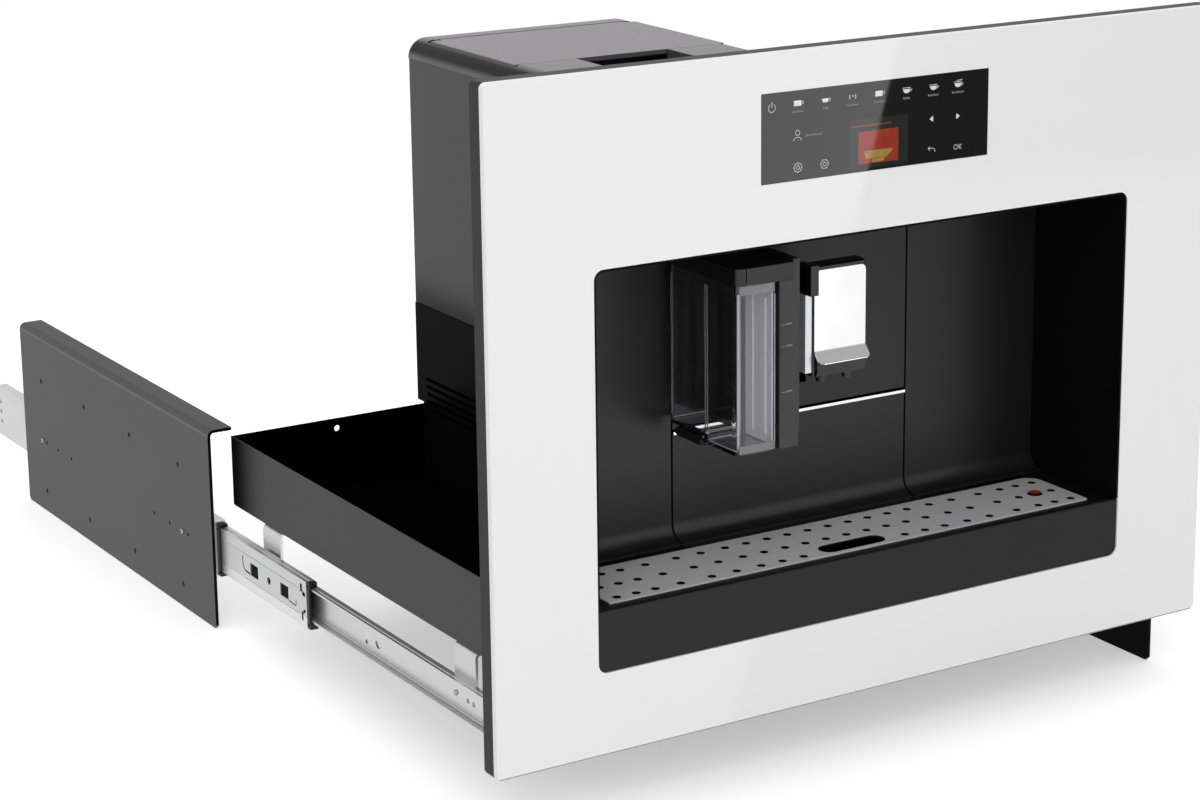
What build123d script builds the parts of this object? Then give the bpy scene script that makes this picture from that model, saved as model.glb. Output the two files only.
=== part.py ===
from build123d import *
from math import cos, radians, sin
import os

# Built-in coffee machine that pulls out of its cabinet on two telescopic runners. Millimetres.
# X runs to the user's right, Y back into the cabinet and Z up. The origin is the middle of the
# fascia's lower edge, in the plane of the fascia's back face, which closes on the cabinet.

# ---- Fascia ----
fascia_width = 595
fascia_height = 455
fascia_corner = 4
glass_thickness = 3.5
glass_bevel = 0.6
frame_depth = 12.5
frame_sheet = 1.2
seat_rim = 15
opening_rim = 8
opening_width = 440
opening_height = 271
opening_bottom = 57
opening_corner = 7
window_width = 186
window_height = 60
window_bottom = 368.3
window_gap = 0.25

# ---- Display unit behind the glass ----
housing_width = 204
housing_height = 78
housing_back = 16
housing_wall = 2
board_thickness = 1.6
board_back = -4.4
board_margin = 8
screen_width = 44
screen_height = 38
boss_radius = 3.5

# ---- Cup niche ----
niche_depth = 84
liner_wall = 1.6
liner_gap = 0.1
lip_setback = 0.5
panel_thickness = 2
centre_width = 200
seam_gap = 1.6
cove_radius = 12
cove_bottom = 100.3
carrier_thickness = 2
drawer_top = 178.5
joint_gap = 1.2

# ---- Drip tray ----
tray_front_top = 99.5
tray_front_thickness = 4
tray_front_setback = 1
tray_side_gap = 0.5
basin_wall = 2
basin_top = 98.3
basin_lift = 0.4
basin_back = 68
bay_wall_gap = 2
grille_width = 406
grille_depth = 65
grille_front = -2
grille_top = 99.3
grille_thickness = 1.5
grille_corner = 12
grille_ledge = 5
grille_gap = 0.3
grille_hole = 3.1
first_row = 7.3
row_pitch = 22.6
centre_column = 8.7
column_pitches = (17.4, 17.1, 17.5, 17.5, 20, 20, 24.8, 20, 15, 15)
finger_slot_width = 54
finger_slot_depth = 16
finger_slot_front = 3
float_column = 178
float_radius = 5
float_hole = 5.8
float_body_radius = 11
float_bottom = 66
float_body_height = 16
float_stem_radius = 2.5
float_rise = 1.4

# ---- Spout ----
spout_front = 25
spout_head_depth = 14
spout_half_width = 22.6
spout_bottom = 219
spout_top = 297
spout_travel = 30
cover_half_width = 21.4
cover_top = 293.5
cover_crease = 237
cover_thickness = 1.2
cover_corner = 4
lip_corner = 3
lip_forward = 7
lip_drop = 8
trim_width = 5.6
trim_bottom = 222
trim_top = 277
trim_depth = 10
arm_half_width = 12
arm_bottom = 228
arm_top = 270
slider_half_width = 16.7
slider_thickness = 9.4
slider_gap = 0.3
rail_wall = 2
nozzle_spacing = 22
nozzle_radius = 4
nozzle_length = 6
inlet_width = 4.4
inlet_front = 3.5
inlet_depth = 16.5
inlet_bottom = 277
inlet_top = 298

# ---- Milk container ----
jug_left = -106
jug_right = -71.8
jug_front = -7
jug_rear = 79
jug_bottom = 184
jug_top = 300
jug_wall = 2.2
jug_corner = 6
step_start = 35
step_rise = 4.5
lid_height = 12.3
lid_overhang = 0.5
lid_skirt = 6
lid_right = -61.3
side_panel_right = -56
side_panel_gap = 0.3
side_post_top = 313.5
level_notch = 0.6
latch_length = 36
latch_width = 8
latch_thickness = 5.8
latch_drop = 2
pickup_radius = 2.4
pickup_clearance = 5
dock_thickness = 4.6
dock_bottom = 258
dock_top = 298
dock_pin_radius = 3
dock_pin_length = 10
dock_pin_clearance = 0.3
dock_pin_inset = 9

# ---- Machine core ----
core_half_width = 101
core_top = 402
core_back = 462
core_edge_radius = 15
cover_wall = 2
side_split = 193
split_gap = 0.6
top_seam = 0.1
core_toe = 113
toe_back = 452
louvre_bottom = 109
louvre_pitch = 6
louvre_count = 5
louvre_height = 3
louvre_length = 112
louvre_starts = (190, 334)
recess_half_width = 40
recess_front = 268
recess_depth = 12
tank_opening_front = 309.5
tank_opening_back = 447.4
tank_opening_half = 92.2
lid_thickness = 4
lid_gap = 0.5
hinge_pin_radius = 1.1
hinge_pin_gap = 0.05
ear_width = 4
ear_gap = 0.5
hopper_opening_half = 72
hopper_opening_front = 96
hopper_opening_back = 262
hopper_lid_thickness = 3

# ---- Inside the core ----
bulkhead_y = 300
bulkhead_thickness = 3
shelf_top = 229
base_side_gap = 0.5
frame_top = 384
tank_wall = 2.5
tank_half_width = 88
tank_front = 313
tank_back = 443
hopper_outlet_bottom = 330
hopper_half_width = 66
hopper_front = 102
hopper_back = 256
hopper_wall = 2.5
hopper_throat = 24
grinder_radius = 38
grinder_bottom = 262
grinder_base = 34
grinder_step = 9
grinder_centre = 179
brew_half_width = 42
brew_front = 112
brew_bottom = 180
brew_foot = 22
brew_shoulder = 26
brew_rear = 30
brew_neck = 20
heater_width = 44
heater_height = 96
heater_depth = 56
heater_rise = 16
heater_gap = 6
fin_count = 5
fin_pitch = 16
fin_height = 4
fin_reach = 2
pump_radius = 22
pump_length = 96
pump_x = 55
pump_front = 320
pump_collar = 8
pump_step = 3
pump_lift = 12
control_half_width = 86
control_height = 84
control_bottom = 130
stand_off_across = 150
stand_off_up = 70
stand_off = 5
stand_off_radius = 3
rail_top = 107.7
bin_half_width = 80
bin_back = 250
bin_bottom = 108
bin_top = 171
bin_wall = 2.5
bin_gap = 0.5

# ---- Mains inlet and switch ----
rear_vent_height = 330
inlet_x = -66
inlet_z = 134
inlet_body_width = 28
inlet_body_height = 22
inlet_body_depth = 24
flange_margin = 5
flange_thickness = 1.5
switch_x = -22
switch_width = 14
switch_height = 22
switch_tilt = 7
switch_gap = 0.4

# ---- Chassis tray ----
tray_half_width = 265
tray_sheet = 1.5
tray_bottom = 54
tray_wall_top = 110.5
tray_back = 456
tray_bend = 3
tray_hole = 2.6
tray_hole_outer = (244, 93)
tray_hole_inner = (176, 102.5)
bracket_length = 50
bracket_share = 0.48
bracket_top = 106

# ---- Telescopic runners and cabinet plates ----
runner_centre = 18
runner_side_gap = 12.5
runner_thickness = 12.7
runner_travel = 455
middle_travel = 303
outer_length = 475
middle_length = 450
inner_length = 450
closed_front = 11
member_front = 9
outer_half = 22.6
outer_web = 1.5
outer_flange = 9.5
outer_lip = 3.7
middle_half = 18
middle_web = 1.2
middle_start = 3.6
middle_flange = 10.9
middle_lip = 3.8
inner_half = 13.2
inner_web = 1.5
inner_start = 6
cage_thickness = 0.7
cage_gap = 0.3
cage_length = 140
slot_length = 12
slot_width = 4.5
inner_slots = (30, 221)
inner_holes = (12, 203, 330)
inner_screw_holes = (62, 70, 400)
window_length = 14
window_rise = 10
middle_windows = (38, 91, 300, 400)
middle_holes = (65, 330)
outer_end_holes = (-9, 0, 9)
outer_end_inset = 8
plate_thickness = 2.5
plate_length = 400
plate_bottom = -46
plate_top = 114.5
plate_flange = 20
plate_bend = 3
plate_corner = 2.5
plate_hole = 2.25
plate_hole_pitch = 98
plate_hole_rise = 99
plate_hole_front = 61
plate_hole_bottom = -27
small_hole = 1.6
small_hole_places = (47, 83, 114, 292, 323, 349)
hook_width = 30
hook_thickness = 2
hook_reach = 24
hook_bottom = 8
hook_starts = (70, 374)

# Places that follow from the sizes above.
glass_front = -frame_depth - glass_thickness
opening_top = opening_bottom + opening_height
opening_half = opening_width / 2
window_top = window_bottom + window_height
window_middle = (window_bottom + window_top) / 2
liner_half = opening_half - liner_gap
niche_half = liner_half - liner_wall
liner_bottom = opening_bottom + liner_gap
liner_top = opening_top - liner_gap
niche_floor = liner_bottom + liner_wall
niche_ceiling = liner_top - liner_wall
panel_back = niche_depth + panel_thickness
centre_half = (centre_width - seam_gap) / 2
bay_wall_top = cove_bottom - panel_thickness - 0.3
carrier_bottom = cove_bottom - panel_thickness - carrier_thickness
tray_front_face = glass_front + tray_front_setback
tray_front_back = tray_front_face + tray_front_thickness
basin_bottom = niche_floor + basin_lift
basin_half = niche_half - tray_side_gap
grille_half = grille_width / 2
grille_back = grille_front + grille_depth
grille_bottom = grille_top - grille_thickness
float_row = grille_front + first_row + row_pitch
spout_back = spout_front + spout_head_depth
slider_front = panel_back + rail_wall + slider_gap
rail_back = slider_front + slider_thickness + slider_gap + rail_wall
lid_top = jug_top + lid_height
side_panel_left = jug_right
dock_front = niche_depth - dock_thickness
wall_inside = core_half_width - cover_wall
core_inside_back = core_back - cover_wall
hinge_y = tank_opening_back - lid_gap - lid_thickness / 2
hinge_z = core_top - lid_thickness / 2
tray_inside = tray_half_width - tray_sheet
tray_floor = tray_bottom + tray_sheet
bracket_flange = bracket_share * (tray_inside - basin_half)
runner_outer_face = tray_half_width + runner_side_gap
runner_inner_face = runner_outer_face - runner_thickness
plate_outer_face = runner_outer_face + plate_thickness

os.makedirs("parts", exist_ok=True)


def front_plane(y):
    """Sketch plane that faces the user: X to the right and Z up."""
    return Plane.XZ.offset(-y)


def side_plane(x):
    """Sketch plane that faces +X: Y to the right and Z up."""
    return Plane.YZ.offset(x)


def level_plane(z):
    return Plane.XY.offset(z)


def both(half):
    return (-half, half)


def fill_rectangle(across, up, corner=0, mode=Mode.ADD):
    """Draw a rectangle that fills a span across and a span up the sketch."""
    width = across[1] - across[0]
    height = up[1] - up[0]
    with Locations(((across[0] + across[1]) / 2, (up[0] + up[1]) / 2)):
        if corner > 0:
            RectangleRounded(width, height, corner, mode=mode)
        else:
            Rectangle(width, height, mode=mode)


def fill_trough(across, up, corner, mode=Mode.ADD):
    """Draw a rectangle with rounded lower corners and a square top."""
    fill_rectangle(across, up, corner, mode)
    fill_rectangle(across, (up[0] + corner, up[1]), 0, mode)


def fill_box(x, y, z, mode=Mode.ADD):
    """Fill three spans with a box."""
    with Locations(((x[0] + x[1]) / 2, (y[0] + y[1]) / 2, (z[0] + z[1]) / 2)):
        Box(x[1] - x[0], y[1] - y[0], z[1] - z[0], mode=mode)


def round_hole(radius, mode=Mode.ADD):
    """Draw a small round hole or pin with twelve sides, which stays light in the mesh."""
    RegularPolygon(radius, 12, mode=mode)


def pill(across, up, mode=Mode.ADD):
    """Draw a slot with rounded ends, in short straight sides."""
    radius = min(across, up) / 2
    reach = max(across, up) / 2 - radius
    corners = []
    for turn in range(0, 360, 30):
        shift = reach if turn < 180 else -reach
        corners.append((radius * cos(radians(turn)), shift + radius * sin(radians(turn))))
        if turn == 150:
            corners.append((-radius, reach))
        if turn == 330:
            corners.append((radius, -reach))
    if across > up:
        corners = [(rise, -run) for run, rise in corners]
    Polygon(*corners, align=None, mode=mode)


def on_side(part, side):
    """Return a piece that was drawn on the right, or its mirror image on the left."""
    return part if side > 0 else part.mirror(Plane.YZ)


def keep(part, name):
    """Label a piece and write it to its file."""
    part.label = name
    export_step(part, f"parts/{name}.step")


# ================= Fascia =================

with BuildPart() as fascia_glass:
    with BuildSketch(front_plane(glass_front)):
        fill_rectangle(both(fascia_width / 2), (0, fascia_height), fascia_corner)
        fill_rectangle(both(opening_half), (opening_bottom, opening_top), opening_corner, Mode.SUBTRACT)
        fill_rectangle(both(window_width / 2), (window_bottom, window_top), 0, Mode.SUBTRACT)
    extrude(amount=-glass_thickness)
    front_face = fascia_glass.faces().sort_by(Axis.Y)[0]
    chamfer(front_face.outer_wire().edges(), glass_bevel)
keep(fascia_glass.part, "fascia_glass")

with BuildPart() as display_window:
    with BuildSketch(front_plane(glass_front)):
        fill_rectangle(
            both(window_width / 2 - window_gap),
            (window_bottom + window_gap, window_top - window_gap),
        )
    extrude(amount=-glass_thickness)
keep(display_window.part, "display_window")

with BuildPart() as fascia_frame:
    with BuildSketch(front_plane(-frame_depth)):
        fill_rectangle(both(fascia_width / 2), (0, fascia_height), fascia_corner)
        fill_rectangle(both(opening_half), (opening_bottom, opening_top), opening_corner, Mode.SUBTRACT)
    extrude(amount=-frame_depth)
    # The frame is folded sheet: hollow between its front sheet and its back rims.
    with BuildSketch(front_plane(frame_sheet - frame_depth)):
        fill_rectangle(
            both(fascia_width / 2 - frame_sheet),
            (frame_sheet, fascia_height - frame_sheet),
            fascia_corner - frame_sheet,
        )
        fill_rectangle(
            both(opening_half + frame_sheet),
            (opening_bottom - frame_sheet, opening_top + frame_sheet),
            opening_corner + frame_sheet,
            Mode.SUBTRACT,
        )
    extrude(amount=-(frame_depth - 2 * frame_sheet), mode=Mode.SUBTRACT)
    with BuildSketch(front_plane(-frame_sheet)):
        fill_rectangle(both(fascia_width / 2 - seat_rim), (seat_rim, fascia_height - seat_rim))
        fill_rectangle(
            both(opening_half + opening_rim),
            (opening_bottom - opening_rim, opening_top + opening_rim),
            opening_corner,
            Mode.SUBTRACT,
        )
    extrude(amount=-frame_sheet, mode=Mode.SUBTRACT)
    with BuildSketch(front_plane(-frame_depth)):
        fill_rectangle(
            both(window_width / 2 - board_margin / 2),
            (window_bottom + board_margin / 2, window_top - board_margin / 2),
        )
    extrude(amount=-frame_sheet, mode=Mode.SUBTRACT)
keep(fascia_frame.part, "fascia_frame")

sheet_back = frame_sheet - frame_depth
housing_bottom = window_middle - housing_height / 2
housing_top = window_middle + housing_height / 2
boss_height = housing_back - housing_wall - board_back

with BuildPart() as display_housing:
    with BuildSketch(front_plane(sheet_back)):
        fill_rectangle(both(housing_width / 2), (housing_bottom, housing_top))
    extrude(amount=-(housing_back - sheet_back))
    with BuildSketch(front_plane(sheet_back)):
        fill_rectangle(
            both(housing_width / 2 - housing_wall),
            (housing_bottom + housing_wall, housing_top - housing_wall),
        )
    extrude(amount=-(housing_back - sheet_back - housing_wall), mode=Mode.SUBTRACT)
    with BuildSketch(front_plane(board_back)):
        with Locations((0, window_middle)):
            with GridLocations(housing_width - 36, housing_height - 26, 2, 2):
                round_hole(boss_radius)
    extrude(amount=-boss_height)
    # Cooling slots in the back wall.
    with BuildSketch(front_plane(housing_back)):
        with Locations((0, window_middle)):
            with GridLocations(14, 1, 6, 1):
                Rectangle(4, 34)
    extrude(amount=housing_wall, mode=Mode.SUBTRACT)
keep(display_housing.part, "display_housing")

with BuildPart() as display_board:
    with BuildSketch(front_plane(board_back)):
        fill_rectangle(
            both(window_width / 2 - 1),
            (window_bottom + 1, window_top - 1),
        )
    extrude(amount=board_thickness)
    with BuildSketch(front_plane(board_back - board_thickness)):
        with Locations((0, window_middle - 4)):
            RectangleRounded(screen_width, screen_height, 1)
    extrude(amount=board_back - board_thickness + frame_depth - window_gap)
keep(display_board.part, "display_board")


# ================= Cup niche =================

bay_back = basin_back + bay_wall_gap

with BuildPart() as niche_liner:
    with BuildSketch(front_plane(glass_front + lip_setback)):
        fill_rectangle(both(liner_half), (liner_bottom, liner_top), opening_corner - liner_gap)
    extrude(amount=-(panel_back - glass_front - lip_setback))
    with BuildSketch(front_plane(glass_front + lip_setback)):
        fill_rectangle(both(niche_half), (niche_floor, niche_ceiling), opening_corner - liner_gap - liner_wall)
    extrude(amount=-(panel_back - glass_front - lip_setback), mode=Mode.SUBTRACT)
    # The lower part stands back, so that the tray front fills the opening.
    fill_box(
        both(opening_half),
        (glass_front, tray_front_back + liner_gap),
        (0, tray_front_top + joint_gap / 2),
        Mode.SUBTRACT,
    )
    # Rear wall of the drip tray's bay, lower in the middle where the tray carries the grounds drawer.
    fill_box(both(liner_half), (bay_back + liner_wall, panel_back), (0, bay_wall_top), Mode.SUBTRACT)
    fill_box(both(niche_half), (bay_back, bay_back + liner_wall), (niche_floor, bay_wall_top))
    fill_box(
        both(centre_half + joint_gap),
        (bay_back, bay_back + liner_wall),
        (carrier_bottom - joint_gap / 2, bay_wall_top),
        Mode.SUBTRACT,
    )
keep(niche_liner.part, "niche_liner")


def cove_section(x, top):
    """Return the section of a niche panel that runs down and curves forward over the drip tray."""
    with BuildSketch(side_plane(x)) as section:
        with BuildLine():
            FilletPolyline(
                (niche_depth, top),
                (niche_depth, cove_bottom),
                (niche_depth - cove_radius - 0.01, cove_bottom),
                radius=cove_radius,
            )
            offset(amount=panel_thickness, side=Side.LEFT)
        make_face()
    return section.sketch


for side, name in ((-1, "left"), (1, "right")):
    with BuildPart() as back_panel:
        seam = (centre_width + seam_gap) / 2
        extrude(cove_section(seam, niche_ceiling), amount=niche_half - seam)
        upper_corner = back_panel.edges().filter_by(Axis.Y).group_by(Axis.Z)[-1].sort_by(Axis.X)[-1]
        fillet(upper_corner, opening_corner - liner_wall)
    keep(on_side(back_panel.part, side), f"back_panel_{name}")

centre_bottom = drawer_top + joint_gap
slot_top = arm_top + 1
slot_bottom = arm_bottom - spout_travel - 1

with BuildPart() as centre_panel:
    with BuildSketch(front_plane(niche_depth)):
        fill_rectangle(both(centre_half), (centre_bottom, niche_ceiling))
        fill_rectangle(both(arm_half_width + 0.6), (slot_bottom, slot_top), 0, Mode.SUBTRACT)
    extrude(amount=-panel_thickness)
    # Stiffening flanges along both seams, turned back into the machine.
    for edge in (-1, 1):
        web = sorted((edge * (wall_inside - seam_gap), edge * (wall_inside - seam_gap - panel_thickness)))
        fill_box(web, (panel_back, panel_back + 8), (centre_bottom, niche_ceiling))
keep(centre_panel.part, "centre_panel")

with BuildPart() as milk_dock:
    with BuildSketch(front_plane(niche_depth)):
        fill_rectangle((side_panel_left, side_panel_right), (dock_bottom, dock_top), 3)
    extrude(amount=dock_thickness)
    dock_x = (side_panel_left + side_panel_right) / 2
    with BuildSketch(front_plane(dock_front)):
        with Locations((dock_x, dock_bottom + dock_pin_inset), (dock_x, dock_top - dock_pin_inset)):
            round_hole(dock_pin_radius)
    extrude(amount=dock_pin_length)
keep(milk_dock.part, "milk_dock")


# ================= Grounds drawer =================

strip_height = 3
drawer_rib_spread = 66

with BuildPart() as grounds_panel:
    extrude(cove_section(-centre_half, drawer_top - strip_height), amount=2 * centre_half)
    # Ribs that stand the cove on the drip tray's rear shelf.
    for x in (-drawer_rib_spread, 0, drawer_rib_spread):
        with BuildSketch(side_plane(x - 1.5)):
            fill_rectangle(
                (niche_depth - cove_radius, panel_back),
                (cove_bottom - panel_thickness, cove_bottom + cove_radius),
            )
            with Locations((niche_depth - cove_radius, cove_bottom + cove_radius)):
                Circle(cove_radius + panel_thickness / 2, mode=Mode.SUBTRACT)
        extrude(amount=3)
keep(grounds_panel.part, "grounds_panel")

with BuildPart() as grounds_strip:
    with BuildSketch(side_plane(-centre_half)):
        fill_rectangle((niche_depth - 1.5, panel_back), (drawer_top - strip_height, drawer_top), 0.6)
    extrude(amount=2 * centre_half)
keep(grounds_strip.part, "grounds_strip")

with BuildPart() as grounds_bin:
    fill_box(both(bin_half_width), (panel_back + bin_gap, bin_back), (bin_bottom, bin_top))
    fillet(grounds_bin.edges().filter_by(Axis.Z).group_by(Axis.Y)[-1], 8)
    chamfer(grounds_bin.faces().sort_by(Axis.Z)[0].edges().group_by(Axis.Y)[-1], 6)
    opened = grounds_bin.faces().sort_by(Axis.Z)[-1]
    offset(amount=-bin_wall, openings=opened)
keep(grounds_bin.part, "grounds_bin")


# ================= Drip tray =================

with BuildPart() as tray_front:
    with BuildSketch(front_plane(tray_front_face)):
        fill_trough(
            both(opening_half - tray_side_gap),
            (opening_bottom + tray_side_gap, tray_front_top),
            opening_corner - tray_side_gap,
        )
    extrude(amount=-tray_front_thickness)
    top_edge = tray_front.edges().filter_by(Axis.X).group_by(Axis.Z)[-1].sort_by(Axis.Y)[0]
    fillet(top_edge, 1.2)
keep(tray_front.part, "tray_front")

with BuildPart() as drip_basin:
    with BuildSketch(front_plane(tray_front_back)):
        fill_trough(both(basin_half), (basin_bottom, basin_top), opening_corner)
    extrude(amount=-(basin_back - tray_front_back))
    with BuildSketch(front_plane(tray_front_back + basin_wall)):
        fill_rectangle(
            both(basin_half - basin_wall),
            (basin_bottom + basin_wall, grille_bottom - basin_wall),
        )
    extrude(amount=-(basin_back - tray_front_back - 2 * basin_wall), mode=Mode.SUBTRACT)
    # The deck holds the grille in a shallow recess above the well.
    with BuildSketch(level_plane(grille_bottom)):
        fill_rectangle(
            both(grille_half + grille_gap),
            (grille_front - grille_gap, grille_back + grille_gap),
            grille_corner,
        )
    extrude(amount=basin_top - grille_bottom, mode=Mode.SUBTRACT)
    with BuildSketch(level_plane(basin_top)):
        fill_rectangle(
            both(grille_half - grille_ledge),
            (grille_front + grille_ledge, grille_back - grille_ledge),
        )
    extrude(amount=-(basin_top - basin_bottom - basin_wall), mode=Mode.SUBTRACT)
    # Boss under the level float.
    with BuildSketch(level_plane(basin_bottom + basin_wall)):
        with Locations((float_column, float_row)):
            round_hole(float_body_radius - 4)
            round_hole(float_body_radius - 6, Mode.SUBTRACT)
    extrude(amount=float_bottom - 0.3 - basin_bottom - basin_wall)
    # Shelf that carries the grounds drawer's front.
    fill_box(
        both(centre_half - joint_gap),
        (basin_back - basin_wall, panel_back),
        (carrier_bottom, cove_bottom - panel_thickness),
    )
keep(drip_basin.part, "drip_basin")

with BuildPart() as drip_grille:
    with BuildSketch(level_plane(grille_bottom)):
        fill_rectangle(both(grille_half), (grille_front, grille_back), grille_corner)
        column = centre_column
        columns = [column]
        for pitch in column_pitches:
            column += pitch
            columns.append(column)
        for row in range(3):
            y = grille_front + first_row + row * row_pitch
            for x in columns:
                if row == 0 and x < finger_slot_width / 2 + grille_hole:
                    continue
                with Locations((-x, y)):
                    RegularPolygon(grille_hole, 6, mode=Mode.SUBTRACT)
                if row == 1 and abs(x - float_column) < float_hole:
                    continue
                with Locations((x, y)):
                    RegularPolygon(grille_hole, 6, mode=Mode.SUBTRACT)
        with Locations((float_column, float_row)):
            Circle(float_hole, mode=Mode.SUBTRACT)
        with Locations((0, grille_front + finger_slot_front + finger_slot_depth / 2)):
            SlotOverall(finger_slot_width, finger_slot_depth, mode=Mode.SUBTRACT)
    extrude(amount=grille_thickness)
keep(drip_grille.part, "drip_grille")

with BuildPart() as water_float:
    for radius, low, high in (
        (float_body_radius, float_bottom, float_bottom + float_body_height),
        (float_stem_radius, float_bottom + float_body_height, grille_bottom - 2),
        (float_radius, grille_bottom - 2, grille_top + float_rise),
    ):
        with BuildSketch(level_plane(low)):
            with Locations((float_column, float_row)):
                RegularPolygon(radius, 24)
        extrude(amount=high - low)
    chamfer(water_float.faces().sort_by(Axis.Z)[-1].edges(), 0.5)
keep(water_float.part, "water_float")


# ================= Spout =================

body_front = spout_front + cover_thickness
rail_half = slider_half_width + slider_gap + rail_wall

with BuildPart() as spout_body:
    with BuildSketch(level_plane(spout_bottom)):
        fill_rectangle(both(spout_half_width), (body_front, spout_back), 2.5)
    extrude(amount=spout_top - spout_bottom)
    chamfer(spout_body.faces().sort_by(Axis.Z)[-1].edges(), 1.5)
    # The lower front edge leans out behind the chrome lip.
    with BuildSketch(side_plane(-cover_half_width + 1)):
        with BuildLine():
            Polyline(
                (body_front + 0.3, cover_crease - 0.5),
                (body_front + 0.3 - 0.9 * lip_forward, cover_crease - 0.5 - 0.9 * lip_drop),
                (body_front - lip_forward + 5, spout_bottom),
                (body_front + 2, spout_bottom),
                (body_front + 2, cover_crease - 0.5),
                close=True,
            )
        make_face()
    extrude(amount=2 * cover_half_width - 2)
    # Arm and slider that carry the head on its rail.
    fill_box(both(arm_half_width), (spout_back - 1, slider_front), (arm_bottom, arm_top))
    fill_box(both(slider_half_width), (slider_front, slider_front + slider_thickness), (arm_bottom, arm_top))
    # Coffee nozzles.
    with BuildSketch(level_plane(spout_bottom)):
        with Locations((0, (body_front + spout_back) / 2)):
            with GridLocations(nozzle_spacing, 1, 2, 1):
                round_hole(nozzle_radius)
    extrude(amount=-nozzle_length, taper=8)
    with BuildSketch(level_plane(spout_bottom - nozzle_length)):
        with Locations((0, (body_front + spout_back) / 2)):
            with GridLocations(nozzle_spacing, 1, 2, 1):
                round_hole(nozzle_radius / 2)
    extrude(amount=nozzle_length + 6, mode=Mode.SUBTRACT)
    # Milk inlet block at the upper left.
    inlet_left = -spout_half_width - inlet_width
    with BuildSketch(level_plane(inlet_bottom)):
        fill_rectangle(
            (inlet_left, -cover_half_width + 1),
            (spout_front - inlet_front, spout_front),
            0,
        )
        fill_rectangle(
            (inlet_left, -spout_half_width + 1),
            (spout_front, spout_front - inlet_front + inlet_depth),
            0,
        )
    extrude(amount=inlet_top - inlet_bottom)
    fillet(spout_body.edges().filter_by(Axis.Z).sort_by(Axis.X)[:2], 1)
keep(spout_body.part, "spout_body")

with BuildPart() as spout_cover:
    with BuildSketch(side_plane(-cover_half_width)):
        with BuildLine():
            Polyline(
                (spout_front, cover_top),
                (spout_front, cover_crease),
                (spout_front - lip_forward, cover_crease - lip_drop),
            )
            offset(amount=cover_thickness, side=Side.LEFT)
        make_face()
    extrude(amount=2 * cover_half_width)
    cut_edges = spout_cover.edges().filter_by(lambda edge: abs(edge.length - cover_thickness) < 0.01)
    fillet(cut_edges.group_by(Axis.Z)[-1].sort_by(Axis.X)[-1], cover_corner)
    lip_corners = spout_cover.edges().filter_by(lambda edge: abs(edge.length - cover_thickness) < 0.01)
    fillet(lip_corners.group_by(Axis.Z)[0], lip_corner)
    # Corner that clears the milk inlet block.
    fill_box(
        (-cover_half_width, -cover_half_width + 1.2),
        (spout_front - 1, body_front + 1),
        (inlet_bottom - 0.2, cover_top + 1),
        Mode.SUBTRACT,
    )
keep(spout_cover.part, "spout_cover")

with BuildPart() as spout_side_trim:
    with BuildSketch(level_plane(trim_bottom)):
        fill_rectangle(
            (-spout_half_width - trim_width, -spout_half_width),
            (body_front, body_front + trim_depth),
            0.6,
        )
    extrude(amount=trim_top - trim_bottom)
keep(spout_side_trim.part, "spout_side_trim")

with BuildPart() as spout_rail:
    with BuildSketch(level_plane(slot_bottom - 4)):
        fill_rectangle(both(rail_half), (panel_back, rail_back))
        fill_rectangle(
            both(slider_half_width + slider_gap),
            (panel_back + rail_wall, rail_back - rail_wall),
            0,
            Mode.SUBTRACT,
        )
        fill_rectangle(both(arm_half_width + 0.6), (panel_back, panel_back + rail_wall), 0, Mode.SUBTRACT)
    extrude(amount=slot_top - slot_bottom + 8)
keep(spout_rail.part, "spout_rail")


# ================= Milk container =================

latch_top = jug_bottom + step_rise

with BuildPart() as milk_jug:
    with BuildSketch(level_plane(jug_bottom)):
        fill_rectangle((jug_left, jug_right), (jug_front, jug_rear), jug_corner)
    extrude(amount=jug_top - jug_bottom)
    fill_box(
        (jug_left, jug_right),
        (step_start, jug_rear),
        (jug_bottom, jug_bottom + step_rise),
        Mode.SUBTRACT,
    )
    with BuildSketch(level_plane(jug_bottom + step_rise + jug_wall)):
        fill_rectangle(
            (jug_left + jug_wall, jug_right - jug_wall),
            (jug_front + jug_wall, jug_rear - jug_wall),
            jug_corner - jug_wall,
        )
    extrude(amount=jug_top - jug_bottom, mode=Mode.SUBTRACT)
    with BuildSketch(level_plane(jug_bottom + jug_wall)):
        fill_rectangle(
            (jug_left + jug_wall, jug_right - jug_wall),
            (jug_front + jug_wall, step_start - jug_wall),
            jug_corner - jug_wall,
        )
    extrude(amount=step_rise + jug_wall, mode=Mode.SUBTRACT)
keep(milk_jug.part, "milk_jug")

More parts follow.
